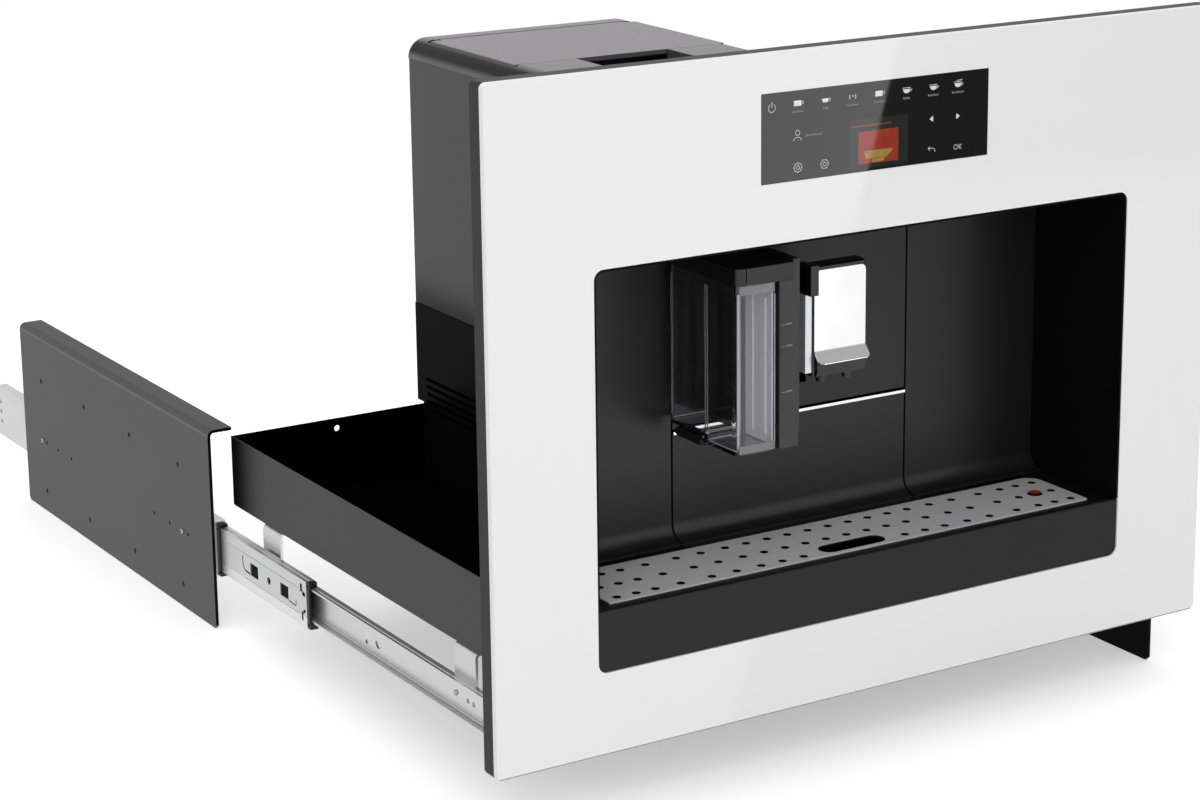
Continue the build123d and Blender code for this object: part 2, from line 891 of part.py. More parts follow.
with BuildPart() as milk_lid:
    with BuildSketch(level_plane(jug_top)):
        fill_rectangle(
            (jug_left - lid_overhang, lid_right),
            (jug_front - lid_overhang, jug_rear),
            jug_corner,
        )
    extrude(amount=lid_height)
    # Square off the corners beside the post and at the back.
    fill_box((lid_right - 8, lid_right), (jug_front - lid_overhang, jug_rear), (jug_top, lid_top))
    chamfer(milk_lid.faces().sort_by(Axis.Z)[-1].edges(), 0.8)
    with BuildSketch(level_plane(jug_top)):
        skirt_gap = jug_wall + 0.4
        fill_rectangle(
            (jug_left + skirt_gap, jug_right - skirt_gap),
            (jug_front + skirt_gap, jug_rear - skirt_gap),
            jug_corner - jug_wall,
        )
        fill_rectangle(
            (jug_left + skirt_gap + 2, jug_right - skirt_gap - 2),
            (jug_front + skirt_gap + 2, jug_rear - skirt_gap - 2),
            1,
            Mode.SUBTRACT,
        )
    extrude(amount=-lid_skirt)
    # Milk pick-up tube, down to just above the jug's floor.
    with BuildSketch(level_plane(jug_top)):
        with Locations((jug_right - skirt_gap - 5.5, jug_rear - skirt_gap - 8)):
            round_hole(pickup_radius)
            round_hole(pickup_radius - 1, Mode.SUBTRACT)
    extrude(amount=-(jug_top - jug_bottom - step_rise - jug_wall - pickup_clearance))
keep(milk_lid.part, "milk_lid")

with BuildPart() as milk_side_panel:
    with BuildSketch(level_plane(jug_bottom)):
        fill_rectangle((side_panel_left, side_panel_right), (jug_front, jug_rear), 1)
    extrude(amount=jug_top - side_panel_gap - jug_bottom)
    fill_box(
        (lid_right + side_panel_gap, side_panel_right),
        (jug_front, jug_rear),
        (jug_bottom + 10, side_post_top),
    )
    # Sockets that plug on the dock's pins.
    with BuildSketch(front_plane(jug_rear)):
        with Locations((dock_x, dock_bottom + dock_pin_inset), (dock_x, dock_top - dock_pin_inset)):
            round_hole(dock_pin_radius + dock_pin_clearance)
    extrude(amount=dock_pin_length + 1, mode=Mode.SUBTRACT)
keep(milk_side_panel.part, "milk_side_panel")

with BuildPart() as jug_latch:
    latch_x = jug_left - 1 + latch_width / 2
    latch_y = step_start + 0.5 + latch_length / 2
    latch_base = latch_top - latch_drop - latch_thickness
    with BuildSketch(level_plane(latch_base)):
        with Locations((latch_x, latch_y)):
            pill(latch_width, latch_length)
    extrude(amount=latch_thickness)
    chamfer(jug_latch.faces().filter_by(Axis.Z).edges(), 1.4)
    with BuildSketch(level_plane(latch_base + latch_thickness)):
        with Locations((latch_x + 0.8, latch_y)):
            pill(latch_width / 2, 0.6 * latch_length)
    extrude(amount=latch_drop)
keep(jug_latch.part, "jug_latch")


# ================= Machine core =================

panel_floor = tray_floor
base_top = panel_floor + 16

for side, name in ((-1, "left"), (1, "right")):
    with BuildPart() as side_panel:
        with BuildSketch(side_plane(wall_inside)):
            fill_rectangle(
                (panel_back, core_back),
                (side_split + split_gap / 2, core_top - core_edge_radius - top_seam),
            )
        extrude(amount=cover_wall)
        # A shallow flange turns in behind the rear cover.
        fillet(side_panel.edges().filter_by(Axis.Z).group_by(Axis.X)[-1].sort_by(Axis.Y)[-1], 1.5)
    keep(on_side(side_panel.part, side), f"side_panel_{name}")

    with BuildPart() as side_vent:
        with BuildSketch(side_plane(wall_inside)):
            fill_rectangle((panel_back, core_back), (core_toe, side_split - split_gap / 2))
            # Below, the wall stops short of the chassis tray's rear wall.
            fill_rectangle((panel_back, toe_back), (panel_floor, core_toe))
        extrude(amount=cover_wall)
        with BuildSketch(side_plane(wall_inside)):
            for start in louvre_starts:
                for step in range(louvre_count):
                    with Locations((start + louvre_length / 2, louvre_bottom + step * louvre_pitch)):
                        Rectangle(louvre_length, louvre_height)
        extrude(amount=cover_wall, mode=Mode.SUBTRACT)
    keep(on_side(side_vent.part, side), f"side_vent_{name}")

cover_edge = core_top - core_edge_radius

with BuildPart() as top_cover:
    with BuildSketch(front_plane(panel_back)):
        with BuildLine():
            FilletPolyline(
                (-core_half_width, cover_edge - 0.01),
                (-core_half_width, core_top),
                (core_half_width, core_top),
                (core_half_width, cover_edge - 0.01),
                radius=core_edge_radius,
            )
            offset(amount=cover_wall, side=Side.RIGHT)
        make_face()
    extrude(amount=-(core_back - panel_back))
    # Opening for the water tank and its lid.
    fill_box(
        both(tank_opening_half),
        (tank_opening_front, tank_opening_back),
        (core_top - core_edge_radius, core_top),
        Mode.SUBTRACT,
    )
    # Opening for the bean hopper's lid.
    fill_box(
        both(hopper_opening_half),
        (hopper_opening_front, hopper_opening_back),
        (core_top - core_edge_radius, core_top),
        Mode.SUBTRACT,
    )
    # Finger recess in front of the tank lid.
    fill_box(
        both(recess_half_width + cover_wall),
        (recess_front - cover_wall, tank_opening_front),
        (core_top - recess_depth - cover_wall, core_top),
    )
    fill_box(
        both(recess_half_width),
        (recess_front, tank_opening_front),
        (core_top - recess_depth, core_top),
        Mode.SUBTRACT,
    )
keep(top_cover.part, "top_cover")

with BuildPart() as rear_cover:
    with BuildSketch(front_plane(core_inside_back)):
        with BuildLine():
            FilletPolyline(
                (-wall_inside + split_gap, core_toe),
                (-wall_inside + split_gap, core_top - cover_wall - split_gap),
                (wall_inside - split_gap, core_top - cover_wall - split_gap),
                (wall_inside - split_gap, core_toe),
                radius=core_edge_radius - cover_wall,
            )
            Line((wall_inside - split_gap, core_toe), (-wall_inside + split_gap, core_toe))
        make_face()
        with Locations((0, rear_vent_height)):
            with GridLocations(9, 1, 12, 1):
                Rectangle(4, 40, mode=Mode.SUBTRACT)
        with Locations((inlet_x, inlet_z)):
            Rectangle(inlet_body_width + 0.4, inlet_body_height + 0.4, mode=Mode.SUBTRACT)
        with Locations((switch_x, inlet_z)):
            Rectangle(switch_width + 2 * switch_gap, switch_height + 2 * switch_gap, mode=Mode.SUBTRACT)
    extrude(amount=-cover_wall)
keep(rear_cover.part, "rear_cover")

with BuildPart() as core_base:
    with BuildSketch(level_plane(panel_floor)):
        fill_rectangle(both(wall_inside - base_side_gap), (panel_back + 2, toe_back))
    extrude(amount=base_top - panel_floor)
    with BuildSketch(level_plane(panel_floor + 3)):
        fill_rectangle(
            both(wall_inside - base_side_gap - 3),
            (panel_back + 5, toe_back - 3),
        )
    extrude(amount=20, mode=Mode.SUBTRACT)
    # Two rails that the grounds bin runs on.
    for edge in (-1, 1):
        web = sorted((edge * (bin_half_width - 4), edge * (bin_half_width - 7)))
        head = sorted((edge * (bin_half_width - 16), edge * (bin_half_width - 4)))
        fill_box(web, (panel_back + 4, bin_back), (panel_floor + 1, rail_top))
        fill_box(head, (panel_back + 4, bin_back), (rail_top - 3, rail_top))
    # Saddle under the pump.
    fill_box(
        (pump_x - 14, pump_x + 14),
        (pump_front + 14, pump_front + pump_length - 14),
        (panel_floor + 1, panel_floor + pump_lift),
    )
keep(core_base.part, "core_base")

with BuildPart() as inner_frame:
    with BuildSketch(side_plane(-wall_inside)):
        with BuildLine():
            Polyline(
                (bulkhead_y, base_top),
                (bulkhead_y + bulkhead_thickness, base_top),
                (bulkhead_y + bulkhead_thickness, shelf_top - bulkhead_thickness),
                (core_inside_back, shelf_top - bulkhead_thickness),
                (core_inside_back, shelf_top),
                (bulkhead_y + bulkhead_thickness, shelf_top),
                (bulkhead_y + bulkhead_thickness, frame_top),
                (bulkhead_y, frame_top),
                close=True,
            )
        make_face()
    extrude(amount=2 * wall_inside)
    # Tongue that stays the top cover's finger recess.
    fill_box(
        both(recess_half_width),
        (bulkhead_y, bulkhead_y + bulkhead_thickness),
        (frame_top - 1, core_top - recess_depth - cover_wall),
    )
keep(inner_frame.part, "inner_frame")


# ================= Bean hopper, grinder and brewing parts =================

hopper_rim = core_top - hopper_lid_thickness - 0.3

hopper_middle = (hopper_front + hopper_back) / 2
hopper_half_depth = (hopper_back - hopper_front) / 2
hopper_shoulder = hopper_rim - 8
throat_top = hopper_outlet_bottom + 12


def funnel_outline(middle, half_mouth, half_throat):
    """Draw the hopper from one side: straight rim, sloping walls and a straight throat."""
    right = [
        (half_mouth, hopper_rim),
        (half_mouth, hopper_shoulder),
        (half_throat, throat_top),
        (half_throat, hopper_outlet_bottom),
    ]
    left = [(-across, up) for across, up in reversed(right)]
    Polygon(*[(middle + across, up) for across, up in right + left], align=None)


with BuildPart() as hopper_space:
    with BuildSketch(front_plane(hopper_front)):
        funnel_outline(0, hopper_half_width - hopper_wall, hopper_throat - hopper_wall)
    extrude(amount=hopper_front - hopper_back)
    with BuildSketch(side_plane(-hopper_half_width)):
        funnel_outline(hopper_middle, hopper_half_depth - hopper_wall, hopper_throat - hopper_wall)
    extrude(amount=2 * hopper_half_width, mode=Mode.INTERSECT)

with BuildPart() as bean_hopper:
    with BuildSketch(front_plane(hopper_front)):
        funnel_outline(0, hopper_half_width, hopper_throat)
    extrude(amount=hopper_front - hopper_back)
    with BuildSketch(side_plane(-hopper_half_width)):
        funnel_outline(hopper_middle, hopper_half_depth, hopper_throat)
    extrude(amount=2 * hopper_half_width, mode=Mode.INTERSECT)
    add(hopper_space.part, mode=Mode.SUBTRACT)
keep(bean_hopper.part, "bean_hopper")

with BuildPart() as hopper_lid:
    with BuildSketch(level_plane(core_top - hopper_lid_thickness)):
        fill_rectangle(
            both(hopper_opening_half - lid_gap),
            (hopper_opening_front + lid_gap, hopper_opening_back - lid_gap),
        )
    extrude(amount=hopper_lid_thickness)
    with BuildSketch(level_plane(core_top - hopper_lid_thickness)):
        fill_rectangle(both(hopper_half_width - 4), (hopper_front + 4, hopper_back - 4))
        fill_rectangle(both(hopper_half_width - 6), (hopper_front + 6, hopper_back - 6), 0, Mode.SUBTRACT)
    extrude(amount=-4)
    # Finger dish in the middle of the lid.
    with BuildSketch(level_plane(core_top)):
        with Locations((0, hopper_middle)):
            pill(46, 20)
    extrude(amount=-1.4, mode=Mode.SUBTRACT)
keep(hopper_lid.part, "hopper_lid")

with BuildPart() as grinder:
    with BuildSketch(level_plane(grinder_bottom)):
        with Locations((0, hopper_middle)):
            RegularPolygon(grinder_radius, 24)
    extrude(amount=grinder_base)
    with BuildSketch(level_plane(grinder_bottom + grinder_base)):
        with Locations((0, hopper_middle)):
            RegularPolygon(grinder_radius - grinder_step, 24)
    extrude(amount=hopper_outlet_bottom - grinder_bottom - grinder_base)
keep(grinder.part, "grinder")

with BuildPart() as brew_unit:
    with BuildSketch(side_plane(-brew_half_width)):
        fill_rectangle((brew_front, bulkhead_y), (brew_bottom + brew_foot, grinder_bottom))
        fill_rectangle(
            (brew_front + brew_shoulder, bulkhead_y - brew_rear),
            (brew_bottom, grinder_bottom - brew_neck),
        )
    extrude(amount=2 * brew_half_width)
keep(brew_unit.part, "brew_unit")

with BuildPart() as thermoblock:
    block_left = brew_half_width + heater_gap
    block_bottom = brew_bottom + heater_rise
    fill_box(
        (block_left, block_left + heater_width),
        (bulkhead_y - heater_depth, bulkhead_y),
        (block_bottom, block_bottom + heater_height),
    )
    for step in range(fin_count):
        fin = block_bottom + (step + 1) * fin_pitch
        fill_box(
            (block_left - fin_reach, block_left + heater_width + fin_reach),
            (bulkhead_y - heater_depth - fin_reach, bulkhead_y - 4 * fin_reach),
            (fin, fin + fin_height),
        )
keep(thermoblock.part, "thermoblock")

with BuildPart() as pump:
    pump_z = panel_floor + pump_lift + pump_radius
    with BuildSketch(front_plane(pump_front)):
        with Locations((pump_x, pump_z)):
            RegularPolygon(pump_radius - pump_step, 20)
    extrude(amount=-pump_length)
    with BuildSketch(front_plane(pump_front + pump_collar)):
        with Locations((pump_x, pump_z)):
            RegularPolygon(pump_radius, 20)
    extrude(amount=-(pump_length - 2 * pump_collar))
    with BuildSketch(front_plane(pump_front)):
        with Locations((pump_x, pump_z)):
            round_hole(pump_step + 2)
    extrude(amount=pump_lift)
keep(pump.part, "pump")

with BuildPart() as control_board:
    board_y = bulkhead_y + bulkhead_thickness + stand_off
    control_middle = control_bottom + control_height / 2
    with BuildSketch(front_plane(board_y)):
        fill_rectangle(both(control_half_width), (control_bottom, control_bottom + control_height))
    extrude(amount=-board_thickness)
    with BuildSketch(front_plane(board_y)):
        with Locations((0, control_middle)):
            with GridLocations(stand_off_across, stand_off_up, 2, 2):
                round_hole(stand_off_radius)
    extrude(amount=stand_off)
    with BuildSketch(front_plane(board_y + board_thickness)):
        with Locations((-0.6 * control_half_width, control_middle + control_height / 10)):
            Rectangle(control_height * 0.4, control_height * 0.5)
        for across, up in ((0, 0.2), (0.4, 0.2), (0.74, -0.14)):
            with Locations((across * control_half_width, control_middle + up * control_height)):
                Rectangle(control_height * 0.2, control_height * 0.26)
    extrude(amount=-3 * stand_off)
keep(control_board.part, "control_board")


# ================= Water tank =================

with BuildPart() as water_tank:
    tank_top = hinge_z - lid_thickness / 2 - 1
    with BuildSketch(level_plane(shelf_top + 0.3)):
        fill_rectangle(both(tank_half_width), (tank_front, tank_back), 8)
    extrude(amount=tank_top - shelf_top - 0.3)
    with BuildSketch(level_plane(shelf_top + 0.3 + tank_wall)):
        fill_rectangle(
            both(tank_half_width - tank_wall),
            (tank_front + tank_wall, tank_back - tank_wall),
            8 - tank_wall,
        )
    extrude(amount=tank_top - shelf_top, mode=Mode.SUBTRACT)
    # Two ears hold the lid's hinge pin.
    for edge in (-1, 1):
        ear_inner = edge * (tank_half_width - 1 - ear_width)
        ear_outer = edge * (tank_half_width - 1)
        start = min(ear_inner, ear_outer)
        with BuildSketch(side_plane(start)):
            with Locations((hinge_y, hinge_z)):
                Circle(lid_thickness / 2)
            fill_rectangle((hinge_y - lid_thickness / 2, hinge_y + lid_thickness / 2), (tank_top - 8, hinge_z))
            fill_rectangle((tank_back - 12, hinge_y + lid_thickness / 2), (tank_top - 10, tank_top))
            with Locations((hinge_y, hinge_z)):
                Circle(hinge_pin_radius, mode=Mode.SUBTRACT)
        extrude(amount=ear_width)
keep(water_tank.part, "water_tank")

with BuildPart() as tank_lid:
    lid_front = tank_opening_front + lid_gap
    knuckle_half = tank_half_width - 1 - ear_width - ear_gap
    with BuildSketch(level_plane(core_top - lid_thickness)):
        fill_rectangle(both(tank_opening_half - lid_gap), (lid_front, hinge_y - 4))
    extrude(amount=lid_thickness)
    fillet(tank_lid.edges().filter_by(Axis.Z).group_by(Axis.Y)[0], 1)
    with BuildSketch(side_plane(-knuckle_half)):
        fill_rectangle((hinge_y - 5, hinge_y), (hinge_z - lid_thickness / 2, hinge_z + lid_thickness / 2))
        with Locations((hinge_y, hinge_z)):
            Circle(lid_thickness / 2)
            Circle(hinge_pin_radius + hinge_pin_gap, mode=Mode.SUBTRACT)
    extrude(amount=2 * knuckle_half)
    # The lid's front edge is relieved from below for the fingers.
    edge_below = tank_lid.edges().filter_by(Axis.X).group_by(Axis.Z)[0].sort_by(Axis.Y)[0]
    chamfer(edge_below, 0.8)
keep(tank_lid.part, "tank_lid")

with BuildPart() as lid_pin:
    with BuildSketch(side_plane(-tank_half_width + 1)):
        with Locations((hinge_y, hinge_z)):
            Circle(hinge_pin_radius)
    extrude(amount=2 * tank_half_width - 2)
keep(lid_pin.part, "lid_pin")


# ================= Mains inlet and switch =================

with BuildPart() as mains_inlet:
    flange_width = inlet_body_width + 2 * flange_margin
    flange_height = inlet_body_height + 2 * flange_margin
    with BuildSketch(front_plane(core_back)):
        with Locations((inlet_x, inlet_z)):
            RectangleRounded(flange_width, flange_height, 3)
    extrude(amount=-flange_thickness)
    with BuildSketch(front_plane(core_back)):
        with Locations((inlet_x, inlet_z)):
            Rectangle(inlet_body_width, inlet_body_height)
    extrude(amount=inlet_body_depth)
    with BuildSketch(front_plane(core_back + flange_thickness)):
        with Locations((inlet_x, inlet_z)):
            RectangleRounded(inlet_body_width - 4, inlet_body_height - 6, 3)
    extrude(amount=inlet_body_depth - 2, mode=Mode.SUBTRACT)
    # Three contact blades.
    with BuildSketch(front_plane(core_back - 2)):
        with Locations((inlet_x - 7, inlet_z - 1.5), (inlet_x, inlet_z + 2.5), (inlet_x + 7, inlet_z - 1.5)):
            Rectangle(2, 4)
    extrude(amount=inlet_body_depth - 4)
keep(mains_inlet.part, "mains_inlet")

with BuildPart() as power_switch:
    with BuildSketch(side_plane(switch_x - switch_width / 2)):
        with BuildLine():
            rocker_radius = switch_height / 2
            Polyline(
                (core_back - 3, inlet_z - rocker_radius + 1.5),
                (core_back + 2.2, inlet_z - rocker_radius + 1.5),
                (core_back + 0.8, inlet_z),
                (core_back + 2.2, inlet_z + rocker_radius - 1.5),
                (core_back - 3, inlet_z + rocker_radius - 1.5),
                (core_back - 9, inlet_z),
                close=True,
            )
        make_face()
    extrude(amount=switch_width)
rocker_axis = Axis((0, core_back - 2, inlet_z), (1, 0, 0))
keep(power_switch.part.rotate(rocker_axis, switch_tilt), "power_switch")

with BuildPart() as switch_housing:
    with BuildSketch(front_plane(core_inside_back)):
        with Locations((switch_x, inlet_z)):
            Rectangle(switch_width + 6, switch_height + 8)
    extrude(amount=16)
    with BuildSketch(front_plane(core_inside_back)):
        with Locations((switch_x, inlet_z)):
            Rectangle(switch_width + 2 * switch_gap, switch_height + 2 * switch_gap)
    extrude(amount=13, mode=Mode.SUBTRACT)
keep(switch_housing.part, "switch_housing")


# ================= Chassis tray =================

with BuildPart() as chassis_tray:
    with BuildSketch(front_plane(0)):
        with BuildLine():
            FilletPolyline(
                (-tray_half_width, tray_wall_top),
                (-tray_half_width, tray_bottom),
                (tray_half_width, tray_bottom),
                (tray_half_width, tray_wall_top),
                radius=tray_bend,
            )
            offset(amount=tray_sheet, side=Side.LEFT)
        make_face()
    extrude(amount=-tray_back)
    fill_box(both(tray_half_width - tray_bend), (tray_back - tray_sheet, tray_back), (tray_floor, tray_wall_top))
    fill_box(both(tray_inside), (tray_back - tray_sheet, tray_back), (tray_floor + tray_bend, tray_wall_top))
    # Cable and air holes in the rear wall.
    with BuildSketch(front_plane(tray_back)):
        with Locations(tray_hole_outer, tray_hole_inner):
            round_hole(tray_hole)
        mirror(about=Plane.YZ)
    extrude(amount=tray_sheet, mode=Mode.SUBTRACT)
keep(chassis_tray.part, "chassis_tray")

with BuildPart() as fascia_brackets:
    with BuildSketch(level_plane(tray_floor + tray_bend)):
        with BuildLine():
            FilletPolyline(
                (tray_inside - bracket_flange, sheet_back),
                (tray_inside, sheet_back),
                (tray_inside, sheet_back + bracket_length),
                radius=tray_bend,
            )
            offset(amount=tray_sheet, side=Side.LEFT)
        make_face()
    extrude(amount=bracket_top - tray_floor - tray_bend)
    mirror(about=Plane.YZ)
keep(fascia_brackets.part, "fascia_brackets")


# ================= Telescopic runners and cabinet plates =================
# Each is drawn on the right, with the runner's section measured from the cabinet plate inwards.


def channel(depth_start, depth_end, half, web, lip, opens_in):
    """Draw one roll-formed runner member: a web, two flanges and their turned lips."""
    near = runner_outer_face - depth_start
    far = runner_outer_face - depth_end
    fill_rectangle((far, near), (runner_centre - half, runner_centre + half), 0)
    if opens_in:
        hollow = (far, near - web)
    else:
        hollow = (far + web, near)
    fill_rectangle(hollow, (runner_centre - half + web, runner_centre + half - web), 0, Mode.SUBTRACT)
    if lip > 0:
        edge = (far, far + web) if opens_in else (near - web, near)
        for turn in (-1, 1):
            ends = sorted((runner_centre + turn * (half - lip), runner_centre + turn * half))
            fill_rectangle(edge, ends, 0)


def upright_slots(start, places):
    """Draw the upright slots along a runner's web."""
    for place in places:
        with Locations((start + place, runner_centre)):
            pill(slot_width, slot_length)


def web_holes(start, places, radius):
    """Draw a row of small holes along a runner's web."""
    for place in places:
        with Locations((start + place, runner_centre)):
            round_hole(radius)


with BuildPart() as hooks_right:
    for start in hook_starts:
        with BuildSketch(front_plane(start)):
            with BuildLine():
                FilletPolyline(
                    (runner_inner_face, hook_bottom),
                    (runner_inner_face, tray_bottom),
                    (runner_inner_face - hook_reach, tray_bottom),
                    radius=hook_thickness + 2,
                )
                offset(amount=hook_thickness, side=Side.LEFT)
            make_face()
        extrude(amount=-hook_width)

with BuildPart() as runner_hooks:
    add(hooks_right.part)
    mirror(about=Plane.YZ)
keep(runner_hooks.part, "runner_hooks")

for side, name, drawn_out in ((-1, "left", 1), (1, "right", 0)):
    outer_front = closed_front + drawn_out * runner_travel
    middle_front = member_front + drawn_out * middle_travel

    with BuildPart() as runner_inner:
        with BuildSketch(front_plane(member_front)):
            channel(inner_start, runner_thickness, inner_half, inner_web, 0, False)
        extrude(amount=-inner_length)
        with BuildSketch(side_plane(runner_inner_face)):
            upright_slots(member_front, inner_slots)
            web_holes(member_front, inner_holes, 4.2)
            web_holes(member_front, inner_screw_holes, 2)
        extrude(amount=inner_web, mode=Mode.SUBTRACT)
    keep(on_side(runner_inner.part, side), f"runner_inner_{name}")

    with BuildPart() as runner_middle:
        with BuildSketch(front_plane(middle_front)):
            channel(middle_start, middle_flange, middle_half, middle_web, middle_lip, True)
        extrude(amount=-middle_length)
        with BuildSketch(side_plane(runner_outer_face - middle_start - middle_web)):
            for place in middle_windows:
                with Locations((middle_front + place, runner_centre)):
                    Rectangle(window_length, window_rise)
            web_holes(middle_front, middle_holes, 3)
        extrude(amount=middle_web, mode=Mode.SUBTRACT)
    keep(on_side(runner_middle.part, side), f"runner_middle_{name}")

    cage_web = middle_start + middle_web
    cage_outer = middle_half - middle_web - cage_gap
    cage_inner = inner_half + cage_gap
    cage_end = middle_flange - middle_web - cage_gap

    with BuildPart() as ball_cage:
        near = runner_outer_face - cage_web
        with BuildSketch(front_plane(middle_front)):
            fill_rectangle(
                (runner_outer_face - cage_end, near),
                (runner_centre - cage_outer, runner_centre + cage_outer),
                0,
            )
            fill_rectangle(
                (runner_outer_face - cage_end, near - cage_thickness),
                (runner_centre - cage_inner, runner_centre + cage_inner),
                0,
                Mode.SUBTRACT,
            )
        extrude(amount=-cage_length)
    keep(on_side(ball_cage.part, side), f"ball_cage_{name}")

    with BuildPart() as runner_outer:
        with BuildSketch(front_plane(outer_front)):
            channel(0, outer_flange, outer_half, outer_web, outer_lip, True)
        extrude(amount=-outer_length)
        with BuildSketch(side_plane(runner_outer_face - outer_web)):
            for rise in outer_end_holes:
                with Locations((outer_front + outer_length - outer_end_inset, runner_centre + rise)):
                    round_hole(2.2)
        extrude(amount=outer_web, mode=Mode.SUBTRACT)
    keep(on_side(runner_outer.part, side), f"runner_outer_{name}")

    with BuildPart() as cabinet_plate:
        with BuildSketch(front_plane(outer_front)):
            with BuildLine():
                FilletPolyline(
                    (plate_outer_face, plate_bottom),
                    (plate_outer_face, plate_top),
                    (plate_outer_face - plate_flange, plate_top),
                    radius=plate_bend + plate_thickness,
                )
                offset(amount=plate_thickness, side=Side.LEFT)
            make_face()
        extrude(amount=-plate_length)
        chamfer(cabinet_plate.edges().filter_by(Axis.X).group_by(Axis.Z)[0], plate_corner)
        with BuildSketch(side_plane(runner_outer_face)):
            for row in range(2):
                for step in range(4):
                    place = outer_front + plate_hole_front + step * plate_hole_pitch
                    with Locations((place, plate_hole_bottom + row * plate_hole_rise)):
                        Circle(plate_hole)
            for place in small_hole_places:
                with Locations((outer_front + place, runner_centre)):
                    RegularPolygon(small_hole, 8)
        extrude(amount=plate_thickness, mode=Mode.SUBTRACT)
    keep(on_side(cabinet_plate.part, side), f"cabinet_plate_{name}")
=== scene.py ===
import math
import bmesh
import bpy
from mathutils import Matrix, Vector


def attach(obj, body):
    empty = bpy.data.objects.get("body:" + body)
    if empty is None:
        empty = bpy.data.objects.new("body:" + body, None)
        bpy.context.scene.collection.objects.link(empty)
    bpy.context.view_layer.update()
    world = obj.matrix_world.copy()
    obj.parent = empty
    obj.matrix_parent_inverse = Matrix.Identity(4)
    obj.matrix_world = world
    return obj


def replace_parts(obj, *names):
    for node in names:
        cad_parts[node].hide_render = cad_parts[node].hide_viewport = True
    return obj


# Built-in coffee machine, drawn out of its cabinet on the left runner: finishes, small parts, light and camera.
# Metres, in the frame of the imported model: X to the user's right, Y back into the cabinet, Z up.
# The small pieces' dictionaries are in millimetres.

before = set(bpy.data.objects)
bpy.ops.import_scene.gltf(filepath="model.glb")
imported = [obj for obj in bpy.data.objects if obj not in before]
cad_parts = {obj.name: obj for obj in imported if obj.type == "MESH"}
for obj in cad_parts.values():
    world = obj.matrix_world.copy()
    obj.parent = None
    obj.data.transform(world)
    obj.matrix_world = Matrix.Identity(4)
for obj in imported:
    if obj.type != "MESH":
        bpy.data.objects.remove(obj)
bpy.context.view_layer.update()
print("frame loaded:", len(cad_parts), "nodes")


# ---- nodes ----

def feed(tree, node, inputs):
    # a value or a link for each input named
    for name, value in inputs.items():
        if isinstance(value, bpy.types.NodeSocket):
            tree.links.new(value, node.inputs[name])
        else:
            node.inputs[name].default_value = value


def addNode(tree, kind, inputs=None, **settings):
    # a new node with its settings and inputs; gives its outputs
    node = tree.nodes.new(kind)
    for name, value in settings.items():
        setattr(node, name, value)
    feed(tree, node, inputs or {})
    return node.outputs


def mathNode(tree, operation, *values):
    return addNode(tree, "ShaderNodeMath", dict(enumerate(values)), operation=operation)[0]


def reach(tree, across, along):
    squares = [mathNode(tree, "POWER", value, 2) for value in (across, along)]
    return mathNode(tree, "SQRT", mathNode(tree, "ADD", *squares))


def ranged(tree, value, low, high, toLow=0.0, toHigh=1.0, kind="LINEAR"):
    return addNode(tree, "ShaderNodeMapRange", {"Value": value, "From Min": low, "From Max": high,
                                                "To Min": toLow, "To Max": toHigh},
                   interpolation_type=kind)["Result"]


def between(tree, value, rises, falls):
    # soft mask that is 1 between the end of rises and the start of falls
    rising = ranged(tree, value, *rises, kind="SMOOTHSTEP")
    falling = ranged(tree, value, *falls, kind="SMOOTHSTEP")
    return mathNode(tree, "MULTIPLY", rising, mathNode(tree, "SUBTRACT", 1, falling))


def mixed(tree, factor, first, second, kind="RGBA"):
    return addNode(tree, "ShaderNodeMix", {"Factor": factor, "A": first, "B": second}, data_type=kind)["Result"]


def placeAxes(tree, output="Object"):
    place = addNode(tree, "ShaderNodeTexCoord")[output]
    return addNode(tree, "ShaderNodeSeparateXYZ", {"Vector": place})


# ---- finishes ----

noiseSpan = (0.3, 0.7)       # where nearly all of a noise lies


def newFinish(name):
    material = bpy.data.materials.new(name)
    material.use_nodes = True
    tree = material.node_tree
    return material, tree, tree.nodes["Principled BSDF"]


def objectNoise(tree, scale, stretch=(1, 1, 1)):
    # noise in the piece's own coordinates, so it stays put from every side
    place = addNode(tree, "ShaderNodeTexCoord")["Object"]
    mapped = addNode(tree, "ShaderNodeMapping", {"Vector": place, "Scale": stretch})["Vector"]
    return addNode(tree, "ShaderNodeTexNoise", {"Vector": mapped, "Scale": scale, "Detail": 3.0})["Fac"]


def spread(tree, noise, low=0.0, high=1.0):
    return ranged(tree, noise, *noiseSpan, low, high)


def toned(tree, colour, noise, amount):
    # a colour that drifts a little lighter and darker
    darker = [c * (1 - amount) for c in colour] + [1]
    lighter = [min(1, c * (1 + amount)) for c in colour] + [1]
    return mixed(tree, spread(tree, noise), darker, lighter)


def finish(name, colour, rough, roughDrift=0.04, metallic=0.0, grain=60, grainDepth=0.0, tone=0.06,
           toneScale=9, specular=0.5, stretch=(1, 1, 1)):
    material, tree, shader = newFinish(name)
    broad, fine = objectNoise(tree, toneScale, stretch), objectNoise(tree, grain, stretch)
    feed(tree, shader, {"Metallic": metallic, "Specular IOR Level": specular,
                        "Base Color": toned(tree, colour, broad, tone),
                        "Roughness": spread(tree, fine, rough - roughDrift, rough + roughDrift)})
    if grainDepth:
        bump = addNode(tree, "ShaderNodeBump", {"Height": fine, "Strength": 1.0, "Distance": grainDepth})
        feed(tree, shader, {"Normal": bump["Normal"]})
    return material


def clearFinish(name, colour, rough, ior=1.45):
    material, tree, shader = newFinish(name)
    drift = objectNoise(tree, 14)
    feed(tree, shader, {"Transmission Weight": 1.0, "IOR": ior,
                        "Base Color": toned(tree, colour, drift, 0.02),
                        "Roughness": spread(tree, drift, rough * 0.5, rough * 1.5)})
    return material


